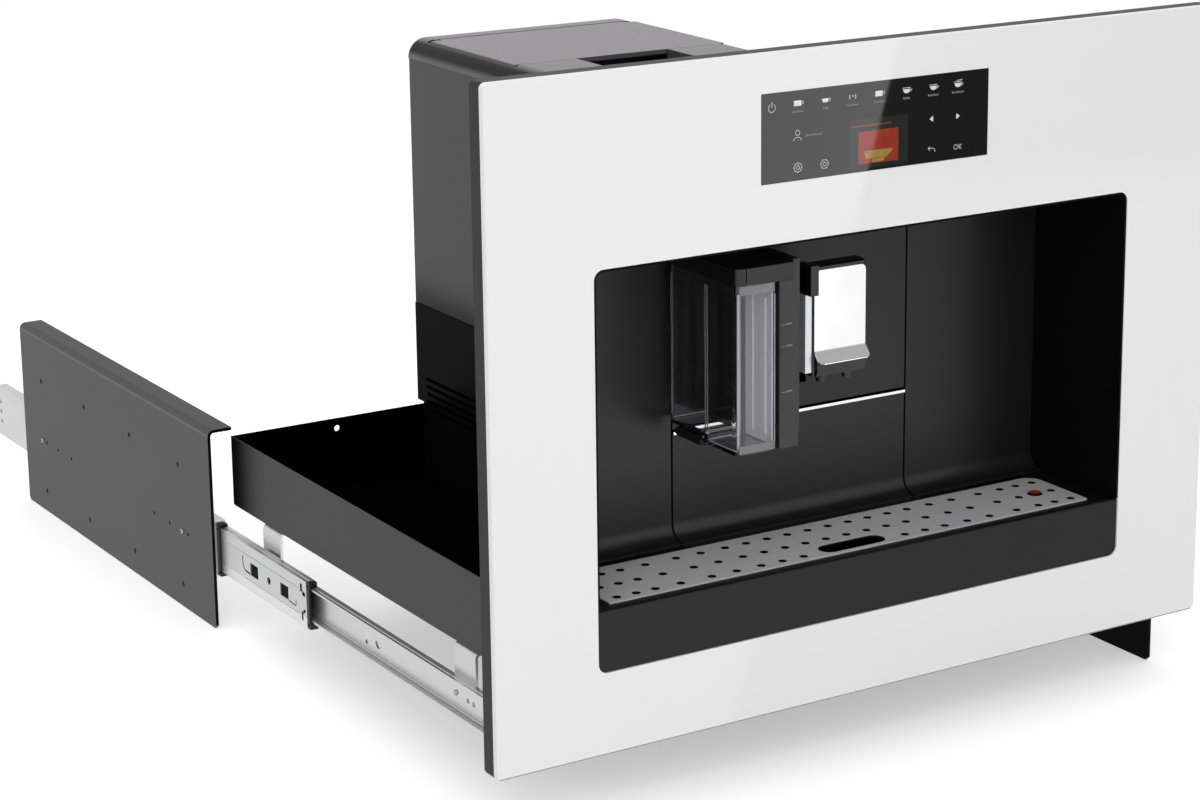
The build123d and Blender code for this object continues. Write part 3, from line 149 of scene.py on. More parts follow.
def glowFinish(name, colour, strength=0.30):
    # printed under the glass, so the glass still mirrors
    material, tree, shader = newFinish(name)
    lit = toned(tree, colour, objectNoise(tree, 220), 0.08)
    feed(tree, shader, {"Roughness": 0.02, "Specular IOR Level": 0.62, "Emission Strength": strength,
                        "Base Color": lit, "Emission Color": lit})
    return material


# grains that several finishes share
powder = {"grain": 1500, "grainDepth": 0.00003}
matte = {"grain": 900, "grainDepth": 0.00003}
rolled = {"metallic": 0.8, "grain": 900, "grainDepth": 0.000015, "tone": 0.05, "toneScale": 45,
          "stretch": (1, 0.06, 1)}
mirror = {"metallic": 1.0, "tone": 0.008}
chromeColour = (0.93, 0.93, 0.935)

# case and niche
displayGlass = finish("displayGlass", (0.008, 0.008, 0.0085), 0.012, 0.004, tone=0.1, specular=0.62)
frameCoat = finish("frameCoat", (0.010, 0.010, 0.0105), 0.46, 0.05, tone=0.05, specular=0.22, **powder)
chassisCoat = finish("chassisCoat", (0.016, 0.016, 0.0165), 0.46, 0.05, tone=0.08, specular=0.35, **powder)
linerBlack = finish("linerBlack", (0.003, 0.003, 0.0033), 0.38, 0.05, grain=900, grainDepth=0.00002, specular=0.05)
nicheSatin = finish("nicheSatin", (0.009, 0.009, 0.0094), 0.36, 0.03, grain=1100, grainDepth=0.00001, tone=0.05,
                    specular=0.38)
sideGloss = finish("sideGloss", (0.038, 0.038, 0.0385), 0.16, 0.02, grain=300, tone=0.04, specular=0.22)
topGrey = finish("topGrey", (0.098, 0.084, 0.104), 0.30, 0.03, grain=700, grainDepth=0.00001, tone=0.04)
ventBlack = finish("ventBlack", (0.003, 0.003, 0.0033), 0.42, 0.05, specular=0.02, **matte)
trayGloss = finish("trayGloss", (0.009, 0.009, 0.0095), 0.30, 0.03, grain=800, grainDepth=0.00001, tone=0.05,
                   specular=0.22)
basinBlack = finish("basinBlack", (0.004, 0.004, 0.0045), 0.45, 0.05, specular=0.3, **matte)
# nearly black: real seams, and painted shade in recesses, slots and behind openings
seamBlack = finish("seamBlack", (0.002, 0.002, 0.002), 0.6, specular=0.0)
# the grille's hole walls: painted shade
paintedShadeHoleWall = finish("paintedShadeHoleWall", (0.010, 0.010, 0.0105), 0.45, 0.05, tone=0.1, specular=0.05)
# metal
zincSteel = finish("zincSteel", (0.63, 0.63, 0.635), 0.32, 0.05, **rolled)
grilleSteel = finish("grilleSteel", (0.74, 0.735, 0.75), 0.40, 0.05, metallic=0.25, grain=1800,
                     grainDepth=0.00001, tone=0.04, toneScale=40, stretch=(0.03, 1, 1))
satinAluminium = finish("satinAluminium", (0.82, 0.82, 0.83), 0.30, metallic=0.45, grain=1200,
                        grainDepth=0.00001, tone=0.04, toneScale=60, stretch=(1, 1, 0.05))
castAluminium = finish("castAluminium", (0.6, 0.6, 0.61), 0.42, 0.07, metallic=1.0, grain=420, grainDepth=0.00006)
screwSteel = finish("screwSteel", (0.42, 0.42, 0.43), 0.28, 0.05, metallic=1.0, tone=0.08)
chrome = finish("chrome", chromeColour, 0.07, 0.015, **mirror)
# plastic
spoutBlack = finish("spoutBlack", (0.007, 0.007, 0.0075), 0.24, 0.03, tone=0.1)
milkDark = finish("milkDark", (0.022, 0.022, 0.023), 0.26, 0.02, tone=0.05, specular=0.42)
lidBlack = finish("lidBlack", (0.007, 0.007, 0.0075), 0.20, 0.03, tone=0.08, specular=0.4)
# pale violet, brightened as painted reflection inside the clear container
paintedReflectionViolet = finish("paintedReflectionViolet", (0.80, 0.785, 0.83), 0.30, grain=260, grainDepth=0.00001, tone=0.10,
                     toneScale=120, stretch=(1, 1, 0.04))
footViolet = finish("footViolet", (0.26, 0.255, 0.275), 0.25, 0.03, tone=0.10, toneScale=90, specular=0.4)
blackNylon = finish("blackNylon", (0.007, 0.007, 0.0075), 0.42, 0.05, grain=700, grainDepth=0.00003, specular=0.3)
# a dark band beside the container's bright corner: painted shade
paintedDarkBand = finish("paintedDarkBand", (0.035, 0.034, 0.04), 0.30, tone=0.08, toneScale=60, specular=0.3)
# pale lines along the clear container's edges: painted highlights
paintedEdgeHighlight = finish("paintedEdgeHighlight", (0.74, 0.735, 0.76), 0.22, tone=0.05, toneScale=40, stretch=(1, 1, 0.1))
innerPlastic = finish("innerPlastic", (0.06, 0.06, 0.062), 0.5, 0.05, grain=500, grainDepth=0.00003)
boardGreen = finish("boardGreen", (0.012, 0.07, 0.035), 0.4, 0.05, grain=400, grainDepth=0.00002)
jugClear = clearFinish("jugClear", (0.93, 0.925, 0.95), 0.02, ior=1.42)
tankClear = clearFinish("tankClear", (0.62, 0.66, 0.70), 0.05)
hopperClear = clearFinish("hopperClear", (0.45, 0.38, 0.32), 0.06)
# print
iconGlow = glowFinish("iconGlow", (0.60, 0.60, 0.61))
screenRed = glowFinish("screenRed", (0.23, 0.026, 0.014))
screenAmber = glowFinish("screenAmber", (0.26, 0.17, 0.035))
screenDark = glowFinish("screenDark", (0.016, 0.018, 0.018), 0.2)
markGrey = finish("markGrey", (0.16, 0.16, 0.165), 0.4)
captionGrey = finish("captionGrey", (0.20, 0.20, 0.205), 0.3)


# ---- finishes that change over a piece ----

# where each one changes: places in metres, or how far a face leans
trayShade = {"halfWidth": 0.2642, "depth": (0.0015, 0.4555), "floor": 0.0551, "rearShadow": (0.395, 0.452)}
plateBend = {"squarely": 0.9, "rises": (0.04, 0.14), "falls": (0.20, 0.42), "inward": -0.1}
glassEdge = {"left": -0.2968, "right": 0.2967, "lower": 0.0011}
coverTop = {"rearStrip": 0.4474, "rises": (0.10, 0.45), "falls": (0.80, 0.97)}
floatHead = {"centre": (0.178, 0.0279), "redRadius": 0.0043}
middleLitBands = {"above": 0.0279, "below": 0.0081}
lipTop = 0.2364
strip = {"crown": 0.177, "half": 0.0010}


def paintWhere(material, factor, colour, specular=None):
    # blends the finish's own colour, and its mirroring, into another where factor is 1
    tree = material.node_tree
    shader = tree.nodes["Principled BSDF"]
    own = shader.inputs["Base Color"].links[0].from_socket
    feed(tree, shader, {"Base Color": mixed(tree, factor, own, colour + (1,))})
    if specular is not None:
        level = shader.inputs["Specular IOR Level"]
        before = level.links[0].from_socket if level.is_linked else level.default_value
        feed(tree, shader, {"Specular IOR Level": mixed(tree, factor, before, specular, "FLOAT")})


def paintBeyond(material, value, comparison, limit, colour, specular=None):
    paintWhere(material, mathNode(material.node_tree, comparison, value, limit), colour, specular)


def trayWithPaintedShade():
    # grey powder coat outside the tray; painted shade, nearly black, inside it and towards its rear
    material = finish("trayPaintedShade", (0.016, 0.016, 0.0165), 0.46, 0.05, specular=0.36, **powder)
    tree = material.node_tree
    axes = placeAxes(tree)
    front, back = trayShade["depth"]
    # painted shadow towards the tray's rear
    fade = ranged(tree, axes["Y"], *trayShade["rearShadow"], kind="SMOOTHSTEP")
    paintWhere(material, fade, (0.003, 0.003, 0.0032), 0.03)
    # painted shade, nearly black, inside the tray
    across = mathNode(tree, "COMPARE", axes["X"], 0.0, trayShade["halfWidth"])
    along = mathNode(tree, "COMPARE", axes["Y"], (front + back) / 2, (back - front) / 2)
    above = mathNode(tree, "GREATER_THAN", axes["Z"], trayShade["floor"])
    inside = mathNode(tree, "MULTIPLY", mathNode(tree, "MULTIPLY", across, along), above)
    paintWhere(material, inside, (0.0012, 0.0012, 0.0014), 0.0)
    return material


def plateWithPaintedLight():
    # powder coat with dark cut edges at the plate's front and back, and painted shade, nearly black, on the side that
    # faces the machine
    material = finish("plateCoatPaintedLight", (0.054, 0.054, 0.056), 0.52, 0.05, grain=1500, grainDepth=0.00004, tone=0.05,
                      specular=0.4)
    tree = material.node_tree
    facing, place = placeAxes(tree, "Normal"), placeAxes(tree)
    paintBeyond(material, mathNode(tree, "ABSOLUTE", facing["Y"]), "GREATER_THAN", plateBend["squarely"],
                (0.003, 0.003, 0.0032), 0.05)
    # painted shade makes the flange's top a little darker, and a painted highlight lies along the bend
    paintBeyond(material, facing["Z"], "GREATER_THAN", plateBend["squarely"], (0.042, 0.042, 0.044))
    paintWhere(material, between(tree, facing["Z"], plateBend["rises"], plateBend["falls"]), (0.115, 0.115, 0.117))
    # painted shade on the side that faces the machine
    paintBeyond(material, mathNode(tree, "MULTIPLY", facing["X"], place["X"]), "LESS_THAN", plateBend["inward"],
                (0.004, 0.004, 0.0042), 0.02)
    return material


def edgedGlass():
    # back-painted glass; its ground lower and side edges are grey, and painted shade makes the right edge darker than
    # the left and the lower edge darkest
    material = finish("paleGlass", (0.90, 0.90, 0.90), 0.02, 0.006, tone=0.006, toneScale=4, specular=0.4)
    axes = placeAxes(material.node_tree)
    paintBeyond(material, axes["X"], "LESS_THAN", glassEdge["left"], (0.74, 0.74, 0.745))
    paintBeyond(material, axes["X"], "GREATER_THAN", glassEdge["right"], (0.52, 0.52, 0.525))
    paintBeyond(material, axes["Z"], "LESS_THAN", glassEdge["lower"], (0.30, 0.30, 0.305))
    return material


def roundedTop():
    # the moulded top: painted shade, nearly black, on the turn from top to side
    material = finish("topCover", (0.060, 0.060, 0.062), 0.30, 0.02, grain=700, tone=0.03)
    tree = material.node_tree
    facing = placeAxes(tree, "Normal")
    paintBeyond(material, placeAxes(tree)["Y"], "GREATER_THAN", coverTop["rearStrip"], (0.088, 0.076, 0.093))
    # painted shade on the turn from top to side
    paintWhere(material, between(tree, facing["Z"], coverTop["rises"], coverTop["falls"]),
               (0.004, 0.004, 0.0042), 0.12)
    return material


def ringedFloat():
    # red in the middle of the float's head, with a dark ring round it
    material = finish("floatRed", (0.42, 0.035, 0.022), 0.35, tone=0.08)
    tree = material.node_tree
    axes = placeAxes(tree)
    across, along = [mathNode(tree, "SUBTRACT", axes[axis], middle)
                     for axis, middle in zip("XY", floatHead["centre"])]
    paintBeyond(material, reach(tree, across, along), "GREATER_THAN", floatHead["redRadius"],
                (0.004, 0.002, 0.002), 0.05)
    return material


def paintedBandSteel():
    # the middle runner: painted shade on its web, and painted light on the bands above and below it, brightest below
    material = finish("middleSteel", (0.57, 0.57, 0.575), 0.32, 0.05, **rolled)
    height = placeAxes(material.node_tree)["Z"]
    paintBeyond(material, height, "GREATER_THAN", middleLitBands["above"], (0.60, 0.60, 0.605))
    paintBeyond(material, height, "LESS_THAN", middleLitBands["below"], (0.74, 0.74, 0.745))
    return material


def spoutMirror():
    # chrome with a painted darker reflection on the turned-up lip
    material = finish("spoutChrome", chromeColour, 0.07, 0.015, **mirror)
    paintBeyond(material, placeAxes(material.node_tree)["Z"], "LESS_THAN", lipTop, (0.66, 0.66, 0.665))
    return material


def shadedSideStrip():
    # painted shade, nearly black, off the strip's crown, so the bright strip shows only along its crown
    material = finish("stripChrome", chromeColour, 0.07, 0.015, **mirror)
    tree = material.node_tree
    away = mathNode(tree, "ABSOLUTE", mathNode(tree, "SUBTRACT", placeAxes(tree)["Z"], strip["crown"]))
    paintBeyond(material, away, "GREATER_THAN", strip["half"], (0.004, 0.004, 0.0042))
    return material


def dress(material, *names):
    for name in names:
        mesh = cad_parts[name].data
        mesh.materials.clear()
        mesh.materials.append(material)


dress(edgedGlass(), "fascia_glass")
dress(displayGlass, "display_window")
dress(frameCoat, "fascia_frame")
dress(plateWithPaintedLight(), "cabinet_plate_left", "cabinet_plate_right")
dress(trayWithPaintedShade(), "chassis_tray")
dress(chassisCoat, "fascia_brackets")
dress(linerBlack, "niche_liner")
dress(nicheSatin, "back_panel_left", "back_panel_right", "centre_panel", "grounds_panel")
dress(sideGloss, "side_panel_left", "side_panel_right")
dress(roundedTop(), "top_cover")
dress(topGrey, "tank_lid", "hopper_lid")
dress(ventBlack, "side_vent_left", "side_vent_right", "rear_cover", "display_housing", "ball_cage_left",
      "ball_cage_right")
dress(trayGloss, "tray_front")
dress(basinBlack, "drip_basin", "grounds_bin")
dress(zincSteel, "runner_outer_left", "runner_outer_right", "runner_inner_left", "runner_inner_right",
      "runner_hooks", "lid_pin", "pump")
dress(paintedBandSteel(), "runner_middle_left", "runner_middle_right")
dress(blackNylon, "power_switch", "switch_housing", "mains_inlet", "jug_latch", "spout_rail")
dress(grilleSteel, "drip_grille")
dress(ringedFloat(), "water_float")
dress(spoutMirror(), "spout_cover")
dress(shadedSideStrip(), "grounds_strip")
dress(satinAluminium, "spout_side_trim")
dress(spoutBlack, "spout_body")
dress(milkDark, "milk_side_panel")
dress(lidBlack, "milk_lid", "milk_dock")
dress(jugClear, "milk_jug")
dress(tankClear, "water_tank")
dress(hopperClear, "bean_hopper")
dress(innerPlastic, "core_base", "inner_frame", "grinder", "brew_unit")
dress(boardGreen, "display_board", "control_board")
dress(castAluminium, "thermoblock")
print("finishes on", len(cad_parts), "nodes")


# ---- making pieces ----

def newPiece(name, mesh, body, material=None):
    piece = bpy.data.objects.new(name, mesh)
    bpy.context.scene.collection.objects.link(piece)
    if material:
        mesh.materials.clear()
        mesh.materials.append(material)
    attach(piece, body)
    return piece


def shapedPiece(name, shape, body, material):
    made = bpy.data.meshes.new(name)
    shape.to_mesh(made)
    shape.free()
    return newPiece(name, made, body, material)


def blockPiece(name, side, body, material, blocks, soften=0.3):
    # boxes with softened edges, each between two |x|, two y and two z, on the left or right of the machine
    shape = bmesh.new()
    for across, deep, high in blocks:
        x0, x1 = sorted(side * x / 1000 for x in across)
        for corner in bmesh.ops.create_cube(shape, size=1)["verts"]:
            corner.co.x = x1 if corner.co.x > 0 else x0
            corner.co.y = (deep[1] if corner.co.y > 0 else deep[0]) / 1000
            corner.co.z = (high[1] if corner.co.z > 0 else high[0]) / 1000
    bmesh.ops.bevel(shape, geom=list(shape.edges), offset=soften / 1000, segments=2, affect="EDGES",
                    profile=0.5, clamp_overlap=True)
    shapedPiece(name, shape, body, material)


class FlatMarks:
    # flat marks in millimetres across and up, on a face that looks outward

    def __init__(self, spot, outward):
        self.spot = spot            # turns across and up into a place
        self.outward = Vector(outward)
        self.shape = bmesh.new()

    def fill(self, points):
        corners = [self.shape.verts.new([c / 1000 for c in self.spot(*point)]) for point in points]
        face = self.shape.faces.new(corners)
        face.normal_update()
        if face.normal.dot(self.outward) < 0:
            face.normal_flip()

    def box(self, x0, x1, z0, z1):
        self.fill([(x0, z0), (x1, z0), (x1, z1), (x0, z1)])

    def disc(self, x, z, radius, steps):
        turns = [2 * math.pi * n / steps for n in range(steps)]
        self.fill([(x + radius * math.cos(t), z + radius * math.sin(t)) for t in turns])

    def line(self, points, width, overhang=0.25):
        # each run goes past its ends by a share of the width
        for (x0, z0), (x1, z1) in zip(points, points[1:]):
            length = math.hypot(x1 - x0, z1 - z0)
            x, z = (x1 - x0) / length * width, (z1 - z0) / length * width
            ax, az, ex, ez = -z / 2, x / 2, x * overhang, z * overhang
            self.fill([(x0 - ex + ax, z0 - ez + az), (x0 - ex - ax, z0 - ez - az),
                       (x1 + ex - ax, z1 + ez - az), (x1 + ex + ax, z1 + ez + az)])

    def arc(self, x, z, radius, start, end, width, steps=16):
        turns = [math.radians(start + (end - start) * n / steps) for n in range(steps + 1)]
        self.line([(x + radius * math.cos(t), z + radius * math.sin(t)) for t in turns], width)


def frontMarks(y):
    return FlatMarks(lambda x, z: (x, y, z), (0, -1, 0))


# ---- display ----

display = {
    "face": -16.008,         # in front of the glass by less than a hair
    "behind": 0.003,         # from one layer of print to the next
    "stroke": 0.34,
    # each drink: where, its cup, and how many blocks under it
    "cupRow": [(-63.7, "mug", 8), (-41.9, "small", 4), (-20.4, "pair", 9), (1.7, "mug", 8), (24.0, "bowl", 5),
               (46.3, "bowl", 8), (67.0, "bowl steam", 9)],
    "cupHeight": 419.8, "captionDrop": 5.6, "captionStep": 1.15,
    "userCaption": (-51.0, 397.6, 7, 1.9),
    "power": (-84.6, 418.4), "user": (-64.3, 400.2), "lowRow": 377.0,
    "wheels": [(-63.9, 8), (-42.7, 6)], "wheelRadius": 2.9, "toothRadius": 3.6,
    "screen": (-22.9, 25.3, 370.6, 403.6),
    "picture": (-15.5, 17.4, 373.4, 395.4),
    "dashes": 17, "dashStep": 1.95, "dash": (-21.0, -19.7, 398.6, 399.9),
}

# each drink's cup, round its own middle
cups = {
    "mug": {"fills": [[(-3.6, -1.9), (2.2, -1.9), (2.2, 1.7), (-3.6, 1.7)]],
            "lines": [[(2.2, 1.0), (3.9, 0.7), (3.6, -0.6), (2.2, -0.9)]]},
    "small": {"fills": [[(-3.2, 0.9), (-2.4, -1.6), (1.4, -1.6), (2.2, 0.9)]],
              "lines": [[(2.2, 0.6), (3.8, 0.4), (3.0, -1.0), (1.8, -1.0)]]},
    "pair": {"fills": [[(x, -1.6), (x + 0.5, -1.6), (x + 0.5, 1.2), (x, 1.2)] for x in (-2.6, 2.2)],
             "dots": [(0.1, 0.4, 0.5)]},
    "bowl": {"fills": [[(-3.4, 0.6), (-2.2, -1.5), (-0.8, -2.1), (0.8, -2.1), (2.0, -1.5), (2.8, 0.6)]],
             "lines": [[(-3.6, 1.5), (2.9, 1.5)], [(2.7, 0.3), (4.2, 0.2), (3.4, -1.0), (2.2, -0.9)]]},
    "steam": {"lines": [[(-1.0, 2.4), (3.6, 2.8)]]},
}


def drawCup(marks, x, z, kinds):
    for cup in [cups[kind] for kind in kinds.split()]:
        for points in cup.get("fills", []):
            marks.fill([(x + dx, z + dz) for dx, dz in points])
        for points in cup.get("lines", []):
            marks.line([(x + dx, z + dz) for dx, dz in points], display["stroke"])
        for dx, dz, radius in cup.get("dots", []):
            marks.disc(x + dx, z + dz, radius, 10)


def drawCaption(marks, x, z, blocks, step):
    # a row of small plain blocks where a word would stand
    left = x - blocks * step / 2
    for n in range(blocks):
        tall = 0.45 if n in (0, blocks // 2) else 0.0
        marks.box(left + n * step, left + n * step + step * 0.68, z - 0.6, z + 0.55 + tall)


def displayPiece(name, marks, material):
    shapedPiece(name, marks.shape, "machine", material)


marks = frontMarks(display["face"])
stroke, low = display["stroke"], display["lowRow"]
for x, kinds, blocks in display["cupRow"]:
    drawCup(marks, x, display["cupHeight"], kinds)
x, z = display["power"]
marks.arc(x, z, 2.7, 120, 420, stroke)
marks.line([(x, z + 0.2), (x, z + 3.9)], stroke)
x, z = display["user"]
marks.arc(x, z, 1.75, 0, 360, stroke)
marks.arc(x, z - 6.6, 3.6, 22, 158, stroke)
# settings and care
inner, outer = display["wheelRadius"], display["toothRadius"]
for x, teeth in display["wheels"]:
    marks.arc(x, low, inner, 0, 360, stroke, 24)
    marks.arc(x, low, 1.3, 0, 360, stroke, 14)
    for turn in [2 * math.pi * n / teeth for n in range(teeth)]:
        marks.line([(x + r * math.cos(turn), low + r * math.sin(turn)) for r in (inner, outer)], stroke)
# arrows
marks.fill([(43.2, 398.1), (46.2, 396.1), (46.2, 400.1)])
marks.fill([(68.8, 397.8), (65.8, 395.8), (65.8, 399.8)])
# back
marks.line([(42.4, 378.0), (46.4, 378.0), (47.6, 377.2), (48.2, 375.4)], stroke)
marks.line([(43.9, 379.4), (42.4, 378.0), (43.9, 376.6)], stroke)
# OK
marks.arc(65.6, 376.7, 1.55, 0, 360, stroke, 20)
marks.line([(68.4, 378.3), (68.4, 375.1)], stroke)
marks.line([(70.6, 378.3), (68.5, 376.6), (70.7, 375.1)], stroke)
displayPiece("displayIcons", marks, iconGlow)

marks = frontMarks(display["face"])
for x, kinds, blocks in display["cupRow"]:
    drawCaption(marks, x, display["cupHeight"] - display["captionDrop"], blocks, display["captionStep"])
drawCaption(marks, *display["userCaption"])
displayPiece("displayCaptions", marks, captionGrey)

marks = frontMarks(display["face"] + 2 * display["behind"])
marks.box(*display["screen"])
displayPiece("displayScreen", marks, screenDark)

marks = frontMarks(display["face"] + display["behind"])
marks.box(*display["picture"])
x0, x1, z0, z1 = display["dash"]
for along in [display["dashStep"] * n for n in range(display["dashes"])]:
    marks.box(x0 + along, x1 + along, z0, z1)
displayPiece("displayPicture", marks, screenRed)

# a cup in two tones, as a plain menu picture
marks = frontMarks(display["face"])
marks.fill([(-10.6, 381.0), (-9.2, 376.6), (7.6, 376.6), (12.4, 380.4), (12.4, 382.0), (-10.6, 382.0)])
marks.fill([(-4.6, 376.2), (-3.6, 374.0), (5.2, 374.0), (6.4, 376.2)])
displayPiece("displayCup", marks, screenAmber)
print("display drawn")


# ---- milk container marks and painted reflection sheet ----

levels = {"face": -7.03, "from": -70.6, "heights": [(269.5, -62.0), (254.5, -61.6), (223.0, -61.6)],
          "halfLine": 0.22, "flag": (4.2, 0.9)}
lidSeam = {"face": -7.53, "box": (-99.3, -98.5, 301.0, 311.2)}
reflectionSheet = {"x": (-76.4, -74.6), "y": (-3.6, 42.0), "z": (187.5, 292.5), "corner": 2.0,
         "ribs": (4.0, 19.0, 34.0), "ribHalf": 1.1, "ribCrest": -77.2, "ribFoot": (192, 288), "ribTop": (194, 286)}

marks = frontMarks(levels["face"])
for height, end in levels["heights"]:
    line, (long, tall) = levels["halfLine"], levels["flag"]
    marks.box(levels["from"], end, height - line, height + line)
    marks.box(end - long, end, height + line, height + tall)
shapedPiece("milkLevels", marks.shape, "milk_container", markGrey)
marks = frontMarks(lidSeam["face"])
marks.box(*lidSeam["box"])
shapedPiece("milkLidSeam", marks.shape, "milk_container_lid", seamBlack)


def milkReflectionPlate():
    # a pale sheet inside the clear container, as painted reflection that makes its front look bright
    shape = bmesh.new()

    def sheet(points):
        return shape.faces.new([shape.verts.new([c / 1000 for c in point]) for point in points])

    (x0, x1), (y0, y1), (z0, z1), corner = reflectionSheet["x"], reflectionSheet["y"], reflectionSheet["z"], reflectionSheet["corner"]
    ring = []
    for y, z, start in ((y1 - corner, z1 - corner, 0), (y0 + corner, z1 - corner, 90),
                        (y0 + corner, z0 + corner, 180), (y1 - corner, z0 + corner, 270)):
        for turn in [math.radians(start + n * 22.5) for n in range(5)]:
            ring.append((x0, y + corner * math.cos(turn), z + corner * math.sin(turn)))
    moved = bmesh.ops.extrude_face_region(shape, geom=[sheet(ring)])["geom"]
    verts = [v for v in moved if isinstance(v, bmesh.types.BMVert)]
    bmesh.ops.translate(shape, verts=verts, vec=((x1 - x0) / 1000, 0, 0))
    # ribs down the sheet, for streaks in the painted reflection
    crest, wide = reflectionSheet["ribCrest"], reflectionSheet["ribHalf"]
    (foot, head), (crestFoot, crestHead) = reflectionSheet["ribFoot"], reflectionSheet["ribTop"]
    for y in reflectionSheet["ribs"]:
        sheet([(x0, y - wide, foot), (crest, y, crestFoot), (crest, y, crestHead), (x0, y - wide, head)])
        sheet([(crest, y, crestFoot), (x0, y + wide, foot), (x0, y + wide, head), (crest, y, crestHead)])
    bmesh.ops.recalc_face_normals(shape, faces=shape.faces)
    shapedPiece("milkReflectionSheet", shape, "milk_container", paintedReflectionViolet)


milkReflectionPlate()


# ---- trees that the small pieces share ----

socketKinds = {float: "Float", int: "Int", tuple: "Vector", type(None): "Material"}


def newTree(name, inputs):
    # a Geometry Nodes tree with one geometry in and out, and the named inputs
    tree = bpy.data.node_groups.new(name, "GeometryNodeTree")
    tree.interface.new_socket("Geometry", in_out="INPUT", socket_type="NodeSocketGeometry")
    for label, value in inputs.items():
        socket = tree.interface.new_socket(label, in_out="INPUT", socket_type="NodeSocket" + socketKinds[type(value)])
        if value is not None:
            socket.default_value = value
    tree.interface.new_socket("Geometry", in_out="OUTPUT", socket_type="NodeSocketGeometry")
    return tree, addNode(tree, "NodeGroupInput")


def endTree(tree, geometry, *coats):
    # the end of every tree: real geometry, then its materials, each where its mark is set
    geometry = addNode(tree, "GeometryNodeRealizeInstances", {"Geometry": geometry})["Geometry"]
    for material, mark in coats:
        inputs = {"Geometry": geometry, "Material": material}
        if mark:
            inputs["Selection"] = addNode(tree, "GeometryNodeInputNamedAttribute", {"Name": mark},
                                          data_type="BOOLEAN")["Attribute"]
        geometry = addNode(tree, "GeometryNodeSetMaterial", inputs)["Geometry"]
    feed(tree, tree.nodes.new("NodeGroupOutput"), {"Geometry": geometry})
    return tree


def marked(tree, geometry, mark, where=True):
    return addNode(tree, "GeometryNodeStoreNamedAttribute", {"Geometry": geometry, "Name": mark, "Value": where},
                   data_type="BOOLEAN", domain="FACE")["Geometry"]


def joined(tree, *parts):
    join = tree.nodes.new("GeometryNodeJoinGeometry")
    for part in parts:
        tree.links.new(part, join.inputs["Geometry"])
    return join.outputs["Geometry"]


def placed(tree, geometry, place, **more):
    return addNode(tree, "GeometryNodeTransform", {"Geometry": geometry, "Translation": place, **more})["Geometry"]


def vector(tree, **axes):
    return addNode(tree, "ShaderNodeCombineXYZ", axes)["Vector"]


def meshFromTree(name, source, tree, values):
    # the plain mesh that the tree makes of the source mesh
    holder = bpy.data.objects.new(name + "Source", source)
    bpy.context.scene.collection.objects.link(holder)
    modifier = holder.modifiers.new("tree", "NODES")
    modifier.node_group = tree
    for item in tree.interface.items_tree:
        if item.in_out == "INPUT" and item.name in values:
            modifier[item.identifier] = values[item.name]
    holder.update_tag()
    bpy.context.view_layer.update()
    seen = holder.evaluated_get(bpy.context.evaluated_depsgraph_get())
    made = bpy.data.meshes.new_from_object(seen)
    holder.modifiers.remove(modifier)
    bpy.data.objects.remove(holder)
    made.name = name
    return made


def sourceMesh(name, lines):
    # each line is a run of points in millimetres, and a single point is a run of its own
    mesh = bpy.data.meshes.new(name)
    edges, start = [], 0
    for line in lines:
        edges += [(start + n, start + n + 1) for n in range(len(line) - 1)]
        start += len(line)
    mesh.from_pydata([[c / 1000 for c in point] for line in lines for point in line], edges, [])
    return mesh


def beadTree():
    # a round bead along every line of the mesh
    tree, given = newTree("beads", {"Bead radius": 0.0005, "Bead sides": 12, "Finish": None})
    path = addNode(tree, "GeometryNodeMeshToCurve", {"Mesh": given["Geometry"]})["Curve"]
    ring = addNode(tree, "GeometryNodeCurvePrimitiveCircle",
                   {"Radius": given["Bead radius"], "Resolution": given["Bead sides"]})["Curve"]
    tube = addNode(tree, "GeometryNodeCurveToMesh",
                   {"Curve": path, "Profile Curve": ring, "Fill Caps": True})["Mesh"]
    return endTree(tree, tube, (given["Finish"], None))


beads = beadTree()


def beadPiece(name, lines, radius, body, material):
    made = meshFromTree(name, sourceMesh(name + "Lines", lines), beads,
                        {"Bead radius": radius / 1000, "Bead sides": 12, "Finish": material})
    for face in made.polygons:
        face.use_smooth = len(face.vertices) == 4
    newPiece(name, made, body)


# ---- runners ----

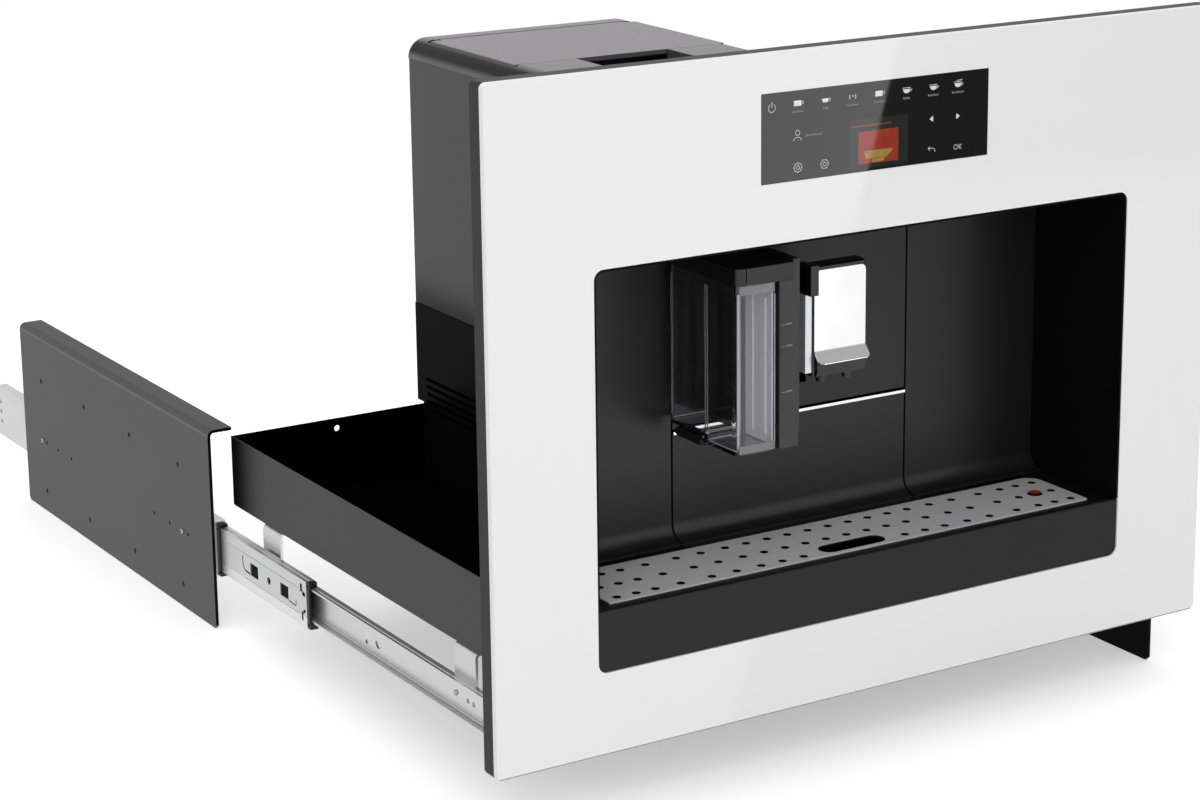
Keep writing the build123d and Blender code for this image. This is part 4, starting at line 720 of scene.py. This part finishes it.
runner = {
    "centre": 18, "innerWeb": 266.3, "innerHalf": 13.2, "middleWeb": 273.9, "middleHalf": 18,
    "innerRun": (9.5, 458.5), "middleLength": 450,
    "fronts": {"left": (312, 466), "right": (9, 11)},        # of the middle and the outer member
    "innerBead": 0.45, "middleBead": 0.55,
    # blocks between two |x|, then y from the member's front and z from the runner's middle
    # a black sheet of painted shade behind the middle member's windows
    "MiddleShadeSheet": [((271.75, 272.45), (1, 130), (-16, 16))],
    # black nylon lugs, and first a black strip across the member's front end as painted shade between the webs
    "MiddleRetainerAndShade": [((271.8, 273.4), (-3.5, -0.1), (-16, 16)),
                       ((266.9, 273.4), (-4.5, -0.1), (13.7, 18.2)), ((266.9, 273.4), (-4.5, -0.1), (-18.2, -13.7)),
                       ((267.9, 272.5), (-1, 10), (13.6, 16.6)), ((267.9, 272.5), (-1, 10), (-16.6, -13.6))],
    # the same for the outer member: a black strip of painted shade, then its lugs
    "OuterRetainerAndShade": [((274.3, 275.9), (-3.5, 10), (-17.5, 17.5)), ((268.3, 275.9), (-4.5, 8), (18.35, 21.0)),
                      ((268.3, 275.9), (-4.5, 8), (-21.0, -18.35))],
    # stampings on the middle member's outer face, drawn as painted shade in their slots and steps: y from its front, z
    # from the middle
    "stampedOut": 0.03,
    "stampedLines": [([(99, -4.2), (107, -3.6), (110.5, -1.5), (111.5, 2), (111.2, 7.2)], 1.3),
                     ([(30.5, -5), (18.5, -5.8), (17.8, -1.2)], 0.9),
                     *[([(12, z), (449, z)], 0.26) for z in (-9.9, 9.9)]],
    # notches, filled black as painted shade
    "notches": [[(10.2, 8.2), (7.2, 8.2), (7.2, 14.6), (10.2, 14.2)],
                [(6.6, 6.0), (2.2, 5.6), (2.2, 8.6), (6.6, 9.4)],
                [(8.8, -13.5), (6.4, -14.0), (6.4, -7.2), (8.8, -7.0)],
                [(5.6, -8.6), (1.6, -5.2), (4.4, -4.4), (6.2, -6.2)]],
}


def runnerBeads(name, side, lines, radius, body):
    # each bead: |x|, its height over the runner's middle, and where it starts and ends
    beadPiece(name, [[(side * x, y, runner["centre"] + z) for y in (start, end)] for x, z, start, end in lines],
              radius, body, zincSteel)


def detailRunner(side, hand):
    middle, outer = runner["fronts"][hand]
    middleBody, centre = hand + "_runner_middle", runner["centre"]
    inner, web = runner["innerWeb"], runner["middleWeb"]
    half, wide = runner["innerHalf"], runner["middleHalf"]
    runnerBeads(hand + "InnerBeads", side, [
        (x, z, *runner["innerRun"]) for x, z in (
            (inner + 0.15, -half + 2.6), (inner + 0.15, -half + 5.2), (inner + 5.0, -half + 1.6),
            (inner + 2.6, half), (inner + 0.15, half - 2.6))], runner["innerBead"], "machine")
    start, rear = middle + 0.5, middle + runner["middleLength"] - 1
    runnerBeads(hand + "MiddleBeads", side, [
        (web - 3.6, wide, start, rear), (web - 3.6, -wide, start, rear),
        (web - 0.5, wide - 0.5, start, rear), (web - 0.5, -wide + 0.5, start, rear),
        (web - 0.2, 9.6, middle + 118, rear), (web - 0.2, -9.6, middle + 108, rear)],
        runner["middleBead"], middleBody)
    for part, body, front, material in (
            ("MiddleShadeSheet", middleBody, middle, seamBlack), ("MiddleRetainerAndShade", middleBody, middle, blackNylon),
            ("OuterRetainerAndShade", hand + "_plate", outer, blackNylon)):
        blockPiece(hand + part, side, body, material, [
            (across, [front + y for y in deep], [centre + z for z in high]) for across, deep, high in runner[part]])
    # the stampings are drawn nearly black: painted shade
    face = side * (web + runner["stampedOut"])
    marks = FlatMarks(lambda y, z: (face, middle + y, centre + z), (side, 0, 0))
    for points, width in runner["stampedLines"]:
        marks.line(points, width, overhang=0)
    for points in runner["notches"]:
        marks.fill(points)
    shapedPiece(hand + "MiddleShadeMarks", marks.shape, middleBody, seamBlack)


hands = ((-1, "left"), (1, "right"))
for side, hand in hands:
    detailRunner(side, hand)
print("runners detailed")


# ---- grille ----

# under the names of the tree's inputs
grille = {
    "Sheet width": 406, "Sheet depth": 65, "Corner radius": 12, "Thickness": 1.5, "Sheet centre": (0, 30.5, 0),
    "Top height": 99.3, "Hole radius": 3.1, "Float hole radius": 5.8, "Float hole place": (178, 27.9, 0),
    "Slot width": 54, "Slot depth": 16, "Slot place": (0, 9, 0),
}
holeGrid = {"columns": (8.7, 26.1, 43.2, 60.7, 78.2, 98.2, 118.2, 143, 163, 178, 193),
            "rows": (5.3, 27.9, 50.5), "slotClear": 30.1}
frontCorner = 0.08               # share of the corner radius that the front corners have
nearlyHalf = 0.4999              # a full half would let the slot's fillets meet in a point
wallMargin = 0.0004              # the sheet's own sides lie outside this, in metres
weld = 0.00001


def inMetres(sizes):
    return {name: tuple(c / 1000 for c in size) if isinstance(size, tuple) else size / 1000
            for name, size in sizes.items()}


def holePlaces():
    # none in front near the finger slot, and none where the float has its larger hole
    rows, clear = holeGrid["rows"], holeGrid["slotClear"]
    return [(side * x, y, 0) for y in rows for x in holeGrid["columns"] for side in (-1, 1)
            if (y > rows[0] or x >= clear) and (side * x, y, 0) != grille["Float hole place"]]


def grilleTree():
    # a pressed sheet with a round hole on every point, one larger hole and a finger slot
    tree, given = newTree("perforatedSheet", {**inMetres(grille), "Sheet": None, "Hole wall": None})
    corner = given["Corner radius"]
    place = addNode(tree, "GeometryNodeInputPosition")["Position"]

    def half(size):
        return mathNode(tree, "MULTIPLY", size, nearlyHalf)

    def roundedBox(wide, deep, radius, centre, steps):
        box = addNode(tree, "GeometryNodeCurvePrimitiveQuadrilateral", {"Width": wide, "Height": deep})["Curve"]
        turned = addNode(tree, "GeometryNodeFilletCurve", {"Curve": box, "Radius": radius, "Count": steps},
                         mode="POLY")["Curve"]
        return placed(tree, turned, centre)

    def circle(radius, steps):
        return addNode(tree, "GeometryNodeCurvePrimitiveCircle", {"Resolution": steps, "Radius": radius})["Curve"]

    # the sheet's front corners are nearly square
    behind = mathNode(tree, "GREATER_THAN", addNode(tree, "ShaderNodeSeparateXYZ", {"Vector": place})["Y"], 0)
    turns = mathNode(tree, "MULTIPLY", corner, mathNode(tree, "MAXIMUM", behind, frontCorner))
    outline = roundedBox(given["Sheet width"], given["Sheet depth"], turns, given["Sheet centre"], 10)
    slot = roundedBox(given["Slot width"], given["Slot depth"], half(given["Slot depth"]), given["Slot place"], 12)
    spots = addNode(tree, "GeometryNodeMeshToPoints", {"Mesh": given["Geometry"]})["Points"]
    holes = addNode(tree, "GeometryNodeInstanceOnPoints",
                    {"Points": spots, "Instance": circle(given["Hole radius"], 32)})["Instances"]
    floatHole = placed(tree, circle(given["Float hole radius"], 40), given["Float hole place"])
    drawn = addNode(tree, "GeometryNodeRealizeInstances",
                    {"Geometry": joined(tree, outline, slot, holes, floatHole)})["Geometry"]
    sheet = addNode(tree, "GeometryNodeFillCurve", {"Curve": drawn})["Mesh"]
    raised = addNode(tree, "GeometryNodeExtrudeMesh",
                     {"Mesh": sheet, "Offset Scale": given["Thickness"], "Individual": False})
    # the hole walls are the sides that lie inside the sheet's own rounded outline
    apart = addNode(tree, "ShaderNodeVectorMath", {0: place, 1: given["Sheet centre"]}, operation="SUBTRACT")
    axes = addNode(tree, "ShaderNodeSeparateXYZ", {"Vector": apart["Vector"]})
    past = []
    for axis, size in (("X", "Sheet width"), ("Y", "Sheet depth")):
        straight = mathNode(tree, "SUBTRACT", half(given[size]), corner)
        over = mathNode(tree, "SUBTRACT", mathNode(tree, "ABSOLUTE", axes[axis]), straight)
        past.append(mathNode(tree, "MAXIMUM", over, 0))
    within = mathNode(tree, "LESS_THAN", reach(tree, *past), mathNode(tree, "SUBTRACT", corner, wallMargin))
    # the hole walls take the dark finish as painted shade
    walled = marked(tree, raised["Mesh"], "holeWall", mathNode(tree, "MULTIPLY", within, raised["Side"]))
    under = addNode(tree, "GeometryNodeFlipFaces", {"Mesh": sheet})["Mesh"]
    closed = addNode(tree, "GeometryNodeMergeByDistance",
                     {"Geometry": joined(tree, walled, under), "Distance": weld})["Geometry"]
    lift = vector(tree, Z=mathNode(tree, "SUBTRACT", given["Top height"], given["Thickness"]))
    return endTree(tree, placed(tree, closed, lift), (given["Sheet"], None), (given["Hole wall"], "holeWall"))


made = meshFromTree("dripSheet", sourceMesh("gratingPoints", [[place] for place in holePlaces()]), grilleTree(),
                    {**inMetres(grille), "Sheet": grilleSteel, "Hole wall": paintedShadeHoleWall})
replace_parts(newPiece("dripSheet", made, "grille"), "drip_grille")
print("grille made with", len(holePlaces()), "holes,", len(made.polygons), "faces")


# ---- milk container highlights, spout lip and vent shade sheets ----

jug = {"left": -103.8, "right": -74.0, "front": -4.8, "rear": 76.8, "step": 33, "floor": 186.5, "top": 294,
       "edge": 0.8, "crease": 0.45, "darkBand": 1.3, "seam": 0.4, "skirt": (293.2, 299.8)}
lip = {"half": 18.2, "y": 17.75, "z": 229.1, "radius": 0.5}
vents = {"x": (98.0, 98.4), "y": (186, 450), "z": (104, 140)}


def jugBeads(name, lines, radius, material):
    beadPiece(name, lines, radius, "milk_container", material)


def upright(x, y, low):
    return [(x, y, low), (x, y, jug["top"])]


left, right, front, rear, step, low = [jug[k] for k in ("left", "right", "front", "rear", "step", "floor")]
# painted highlights down two corners of the clear container
jugBeads("milkJugCornerHighlights", [upright(left + 1.0, front + 1.0, low + 2), upright(right - 1.0, rear - 1.0, low + 8)],
         jug["edge"], paintedEdgeHighlight)
blockPiece("milkJugFoot", -1, "milk_container", footViolet, [
    ((-right + 1.2, -left - 0.4), (front - 1.9, front - 0.4), (low - 1.8, low + 4.0))])
marks = frontMarks(front + 0.15)
marks.box(left + 1.2, right - 1.2, *jug["skirt"])
shapedPiece("milkSkirtBand", marks.shape, "milk_container_lid", footViolet)
jugBeads("milkJugCreases", [upright(left + 0.5, step + y, low + 8) for y in (-1.6, 1.0)], jug["crease"], footViolet)
# a dark band of painted shade beside the bright front corner
jugBeads("milkJugDarkBand", [upright(left + 5.2, front + 1.6, low + 2)], jug["darkBand"], paintedDarkBand)
# thin painted highlights along the container's other edges
jugBeads("milkJugEdgeHighlights", [
    upright(left + 0.6, rear - 0.6, low + 7), [(left + 0.5, front + 2, low), (left + 0.5, step - 2, low)],
    *[[(left + 2, y, z), (right - 2, y, z)] for y, z in (
        (front + 0.5, low), (step - 1, low), (step + 2, low + 4.8), (rear - 1, low + 5))]],
    jug["seam"], paintedEdgeHighlight)
beadPiece("spoutLipEdge", [[(x, lip["y"], lip["z"]) for x in (-lip["half"], lip["half"])]], lip["radius"],
          "spout", chrome)
for side, hand in hands:
    # black sheets behind the vents: painted shade inside the machine
    blockPiece(hand + "VentShadeSheet", side, "machine", seamBlack,
               [(vents["x"], vents["y"], vents["z"])], soften=0.1)
print("milk container and vents detailed")


# ---- screws ----

screwHead = {"steps": 28, "rings": 12, "domeScale": (0.999, 0.999, 0.34), "domeLift": 0.46,
             "crossLong": 1.15, "crossWide": 0.24, "crossLift": 0.60}


def screwTree():
    # a low domed head with a cross in it, on every point of the mesh
    tree, given = newTree("screwHeads", {"Head radius": 0.0028, "Head height": 0.0016, "Facing": (0, 0, 0),
                                         "Steel": None, "Recess": None})
    radius, height = given["Head radius"], given["Head height"]

    def share(size, name):
        return mathNode(tree, "MULTIPLY", size, screwHead[name])

    rim = addNode(tree, "GeometryNodeMeshCylinder",
                  {"Vertices": screwHead["steps"], "Radius": radius, "Depth": height})["Mesh"]
    ball = addNode(tree, "GeometryNodeMeshUVSphere",
                   {"Segments": screwHead["steps"], "Rings": screwHead["rings"], "Radius": radius})["Mesh"]
    dome = placed(tree, ball, vector(tree, Z=share(height, "domeLift")), Scale=screwHead["domeScale"])
    head = addNode(tree, "GeometryNodeSetShadeSmooth", {"Geometry": joined(tree, rim, dome)})["Geometry"]
    bars = []
    for along, across in ("XY", "YX"):
        size = vector(tree, **{along: share(radius, "crossLong"), across: share(radius, "crossWide"), "Z": height})
        bars.append(addNode(tree, "GeometryNodeMeshCube", {"Size": size})["Mesh"])
    # the cross is drawn as dark bars: painted shade for its recess
    cross = placed(tree, joined(tree, *bars), vector(tree, Z=share(height, "crossLift")))
    screw = joined(tree, head, marked(tree, cross, "recess"))
    points = addNode(tree, "GeometryNodeMeshToPoints", {"Mesh": given["Geometry"]})["Points"]
    turn = addNode(tree, "FunctionNodeEulerToRotation", {"Euler": given["Facing"]})["Rotation"]
    screws = addNode(tree, "GeometryNodeInstanceOnPoints",
                     {"Points": points, "Instance": screw, "Rotation": turn})["Instances"]
    return endTree(tree, screws, (given["Steel"], None), (given["Recess"], "recess"))


facings = {"left": (0, -math.pi / 2, 0), "right": (0, math.pi / 2, 0), "back": (-math.pi / 2, 0, 0)}
# name: body, facing, head radius, head height, places
screwRows = {
    "leftPlateScrews": ("left_plate", "left", 2.1, 1.2, [(-280.4, 524, 18), (-280.4, 825, 18)]),
    "rightPlateScrews": ("right_plate", "right", 2.1, 1.2, [(280.4, 69, 18), (280.4, 370, 18)]),
    "runnerScrewsLeft": ("machine", "left", 2.0, 0.8, [(-266.6, 95.6, 18.8), (-266.6, 388, 18.8)]),
    "runnerScrewsRight": ("machine", "right", 2.0, 0.8, [(266.6, 95.6, 18.8), (266.6, 388, 18.8)]),
    "rearScrews": ("machine", "back", 2.9, 1.6, [
        (-90, 462.4, 122), (90, 462.4, 122), (-90, 462.4, 255), (90, 462.4, 255), (-80, 462.4, 390), (80, 462.4, 390),
        (-66, 463.9, 152), (-66, 463.9, 116)]),
    "housingScrews": ("machine", "back", 2.4, 1.3, [(x, 16.4, z) for z in (367, 430) for x in (-94, 94)]),
    "rimScrews": ("machine", "back", 2.4, 0.9, [(x, -0.1, z) for x in (-290, 290) for z in (40, 165, 290, 415)]),
}
screwHeads = screwTree()
for name, (body, facing, radius, height, places) in screwRows.items():
    made = meshFromTree(name, sourceMesh(name + "Points", [[place] for place in places]), screwHeads, {
        "Head radius": radius / 1000, "Head height": height / 1000, "Facing": facings[facing],
        "Steel": screwSteel, "Recess": seamBlack})
    newPiece(name, made, body)
print("screws placed:", sum(len(row[-1]) for row in screwRows.values()))


# ---- floor, light and camera ----

studio = {
    "floorHeight": -0.0466, "floorReach": 14.0,
    "floorColour": (0.90, 0.90, 0.90),
    "floorLift": 0.42,           # what camera rays add to the floor near the object
    "fadeCentre": (0, 0.4, 0), "fade": (1.3, 3.2),
    "worldForDiffuse": 0.62,
    "ceiling": 0.45, "ceilingFrom": (0.25, 0.95),      # how bright glossy surfaces see straight up
    "wallCorners": [(-6, 0, -4), (9, 0, -4), (9, 0, 6), (-6, 0, 6)], "wallY": -3.2,
    "wallLeft": 1.9, "wallDark": 0.10, "wallRight": 1.0,
    "edgeSlant": -0.298, "edge": (2.426, 2.434), "leftFade": (1.5, 2.4), "leftStart": 0.72,
    "lowFade": (-0.60, -0.45),
}
# name: side, power, place and aim
lamps = {
    "keyLight": (2.4, 40, (-1.6, -2.6, 2.4), (0, 0.1, 0.2)),
    "fillLight": (2.0, 12, (-3.0, 0.8, 1.2), (0, 0.4, 0.2)),
    "topLight": (2.4, 15, (0.4, 1.0, 3.0), (0, 0.4, 0.2)),
}
view = {"place": (-1.1657, -1.6129, 0.770), "yaw": 33.677, "pitch": 14.339, "focalPixels": 3022.5,
        "width": 1200, "sensor": 36, "shift": (-0.125, -0.0667)}


def stageSheet(name, corners, axis, place, material):
    mesh = bpy.data.meshes.new(name)
    mesh.from_pydata(corners, [], [(0, 1, 2, 3)])
    mesh.materials.append(material)
    sheet = bpy.data.objects.new(name, mesh)
    sheet.location[axis] = place
    bpy.context.scene.collection.objects.link(sheet)
    return sheet


def makeFloor():
    # white paper: lifted a little for the camera, and plain white far from the object
    material, tree, shader = newFinish("paleFloor")
    feed(tree, shader, {"Roughness": 0.9, "Specular IOR Level": 0.0,
                        "Base Color": toned(tree, studio["floorColour"], objectNoise(tree, 3), 0.01)})
    toCamera = addNode(tree, "ShaderNodeLightPath")["Is Camera Ray"]
    glow = addNode(tree, "ShaderNodeEmission", {"Strength": mathNode(tree, "MULTIPLY", toCamera, studio["floorLift"])})
    near = addNode(tree, "ShaderNodeAddShader", {0: shader.outputs["BSDF"], 1: glow["Emission"]})["Shader"]
    place = addNode(tree, "ShaderNodeTexCoord")["Object"]
    away = addNode(tree, "ShaderNodeVectorMath", {0: place, 1: studio["fadeCentre"]}, operation="DISTANCE")["Value"]
    far = mathNode(tree, "MULTIPLY", ranged(tree, away, *studio["fade"], kind="SMOOTHSTEP"), toCamera)
    paper = addNode(tree, "ShaderNodeEmission")["Emission"]
    mix = addNode(tree, "ShaderNodeMixShader", {"Fac": far, 1: near, 2: paper})["Shader"]
    feed(tree, tree.nodes["Material Output"], {"Surface": mix})
    r = studio["floorReach"]
    floor = stageSheet("floor", [(-r, -r, 0), (r, -r, 0), (r, r, 0), (-r, r, 0)], 2, studio["floorHeight"], material)
    floor.visible_glossy = False         # the object mirrors the studio wall and the pale world instead


def makeWorld():
    world = bpy.data.worlds.new("studioWorld")
    bpy.context.scene.world = world
    world.use_nodes = True
    tree = world.node_tree
    rays = addNode(tree, "ShaderNodeLightPath")
    # the camera, mirrors and clear pieces see a white room, which lights the rest a little less
    direct = mathNode(tree, "MAXIMUM", rays["Is Camera Ray"], rays["Is Glossy Ray"])
    direct = mathNode(tree, "MAXIMUM", direct, rays["Is Transmission Ray"])
    level = ranged(tree, direct, 0, 1, studio["worldForDiffuse"], 1.0)
    # mirrors see the studio ceiling a little darker than its walls
    up = placeAxes(tree, "Generated")["Z"]
    ceiling = ranged(tree, up, *studio["ceilingFrom"], 1.0, studio["ceiling"])
    mirrored = mixed(tree, rays["Is Glossy Ray"], 1.0, ceiling, "FLOAT")
    feed(tree, tree.nodes["Background"], {"Color": (1, 1, 1, 1),
                                          "Strength": mathNode(tree, "MULTIPLY", level, mirrored)})


def makeWall():
    # a lit studio wall in front, seen only in reflections: its slanted edge shows in the glass
    material = bpy.data.materials.new("studioWall")
    material.use_nodes = True
    tree = material.node_tree
    tree.nodes.clear()
    axes = placeAxes(tree)
    slant = mathNode(tree, "MULTIPLY_ADD", axes["Z"], studio["edgeSlant"], axes["X"])
    edge = ranged(tree, slant, *studio["edge"])
    right = ranged(tree, axes["Z"], *studio["lowFade"], studio["wallRight"], studio["wallDark"])
    left = ranged(tree, slant, *studio["leftFade"], studio["wallLeft"] * studio["leftStart"], studio["wallLeft"])
    glow = addNode(tree, "ShaderNodeEmission", {"Strength": mixed(tree, edge, left, right, "FLOAT")})["Emission"]
    feed(tree, tree.nodes.new("ShaderNodeOutputMaterial"), {"Surface": glow})
    wall = stageSheet("studioWall", studio["wallCorners"], 1, studio["wallY"], material)
    for ray in ("camera", "diffuse", "transmission", "volume_scatter", "shadow"):
        setattr(wall, "visible_" + ray, False)


def softBox(name, size, power, place, aim):
    light = bpy.data.lights.new(name, "AREA")
    light.shape = "RECTANGLE"
    light.size = light.size_y = size
    light.energy = power
    lamp = bpy.data.objects.new(name, light)
    lamp.location = place
    lamp.rotation_euler = (Vector(aim) - Vector(place)).to_track_quat("-Z", "Y").to_euler()
    lamp.visible_glossy = False
    bpy.context.scene.collection.objects.link(lamp)


makeFloor()
makeWorld()
makeWall()
for name, lamp in lamps.items():
    softBox(name, *lamp)

camera = bpy.data.cameras.new("camera")
camera.sensor_width = view["sensor"]
camera.lens = view["focalPixels"] / view["width"] * view["sensor"]
camera.shift_x, camera.shift_y = view["shift"]
eye = bpy.data.objects.new("camera", camera)
eye.location = view["place"]
eye.rotation_euler = (math.radians(90 - view["pitch"]), 0, math.radians(-view["yaw"]))
bpy.context.scene.collection.objects.link(eye)
bpy.context.scene.camera = eye
bpy.context.scene.view_settings.view_transform = "Standard"
print("floor, light and camera ready")
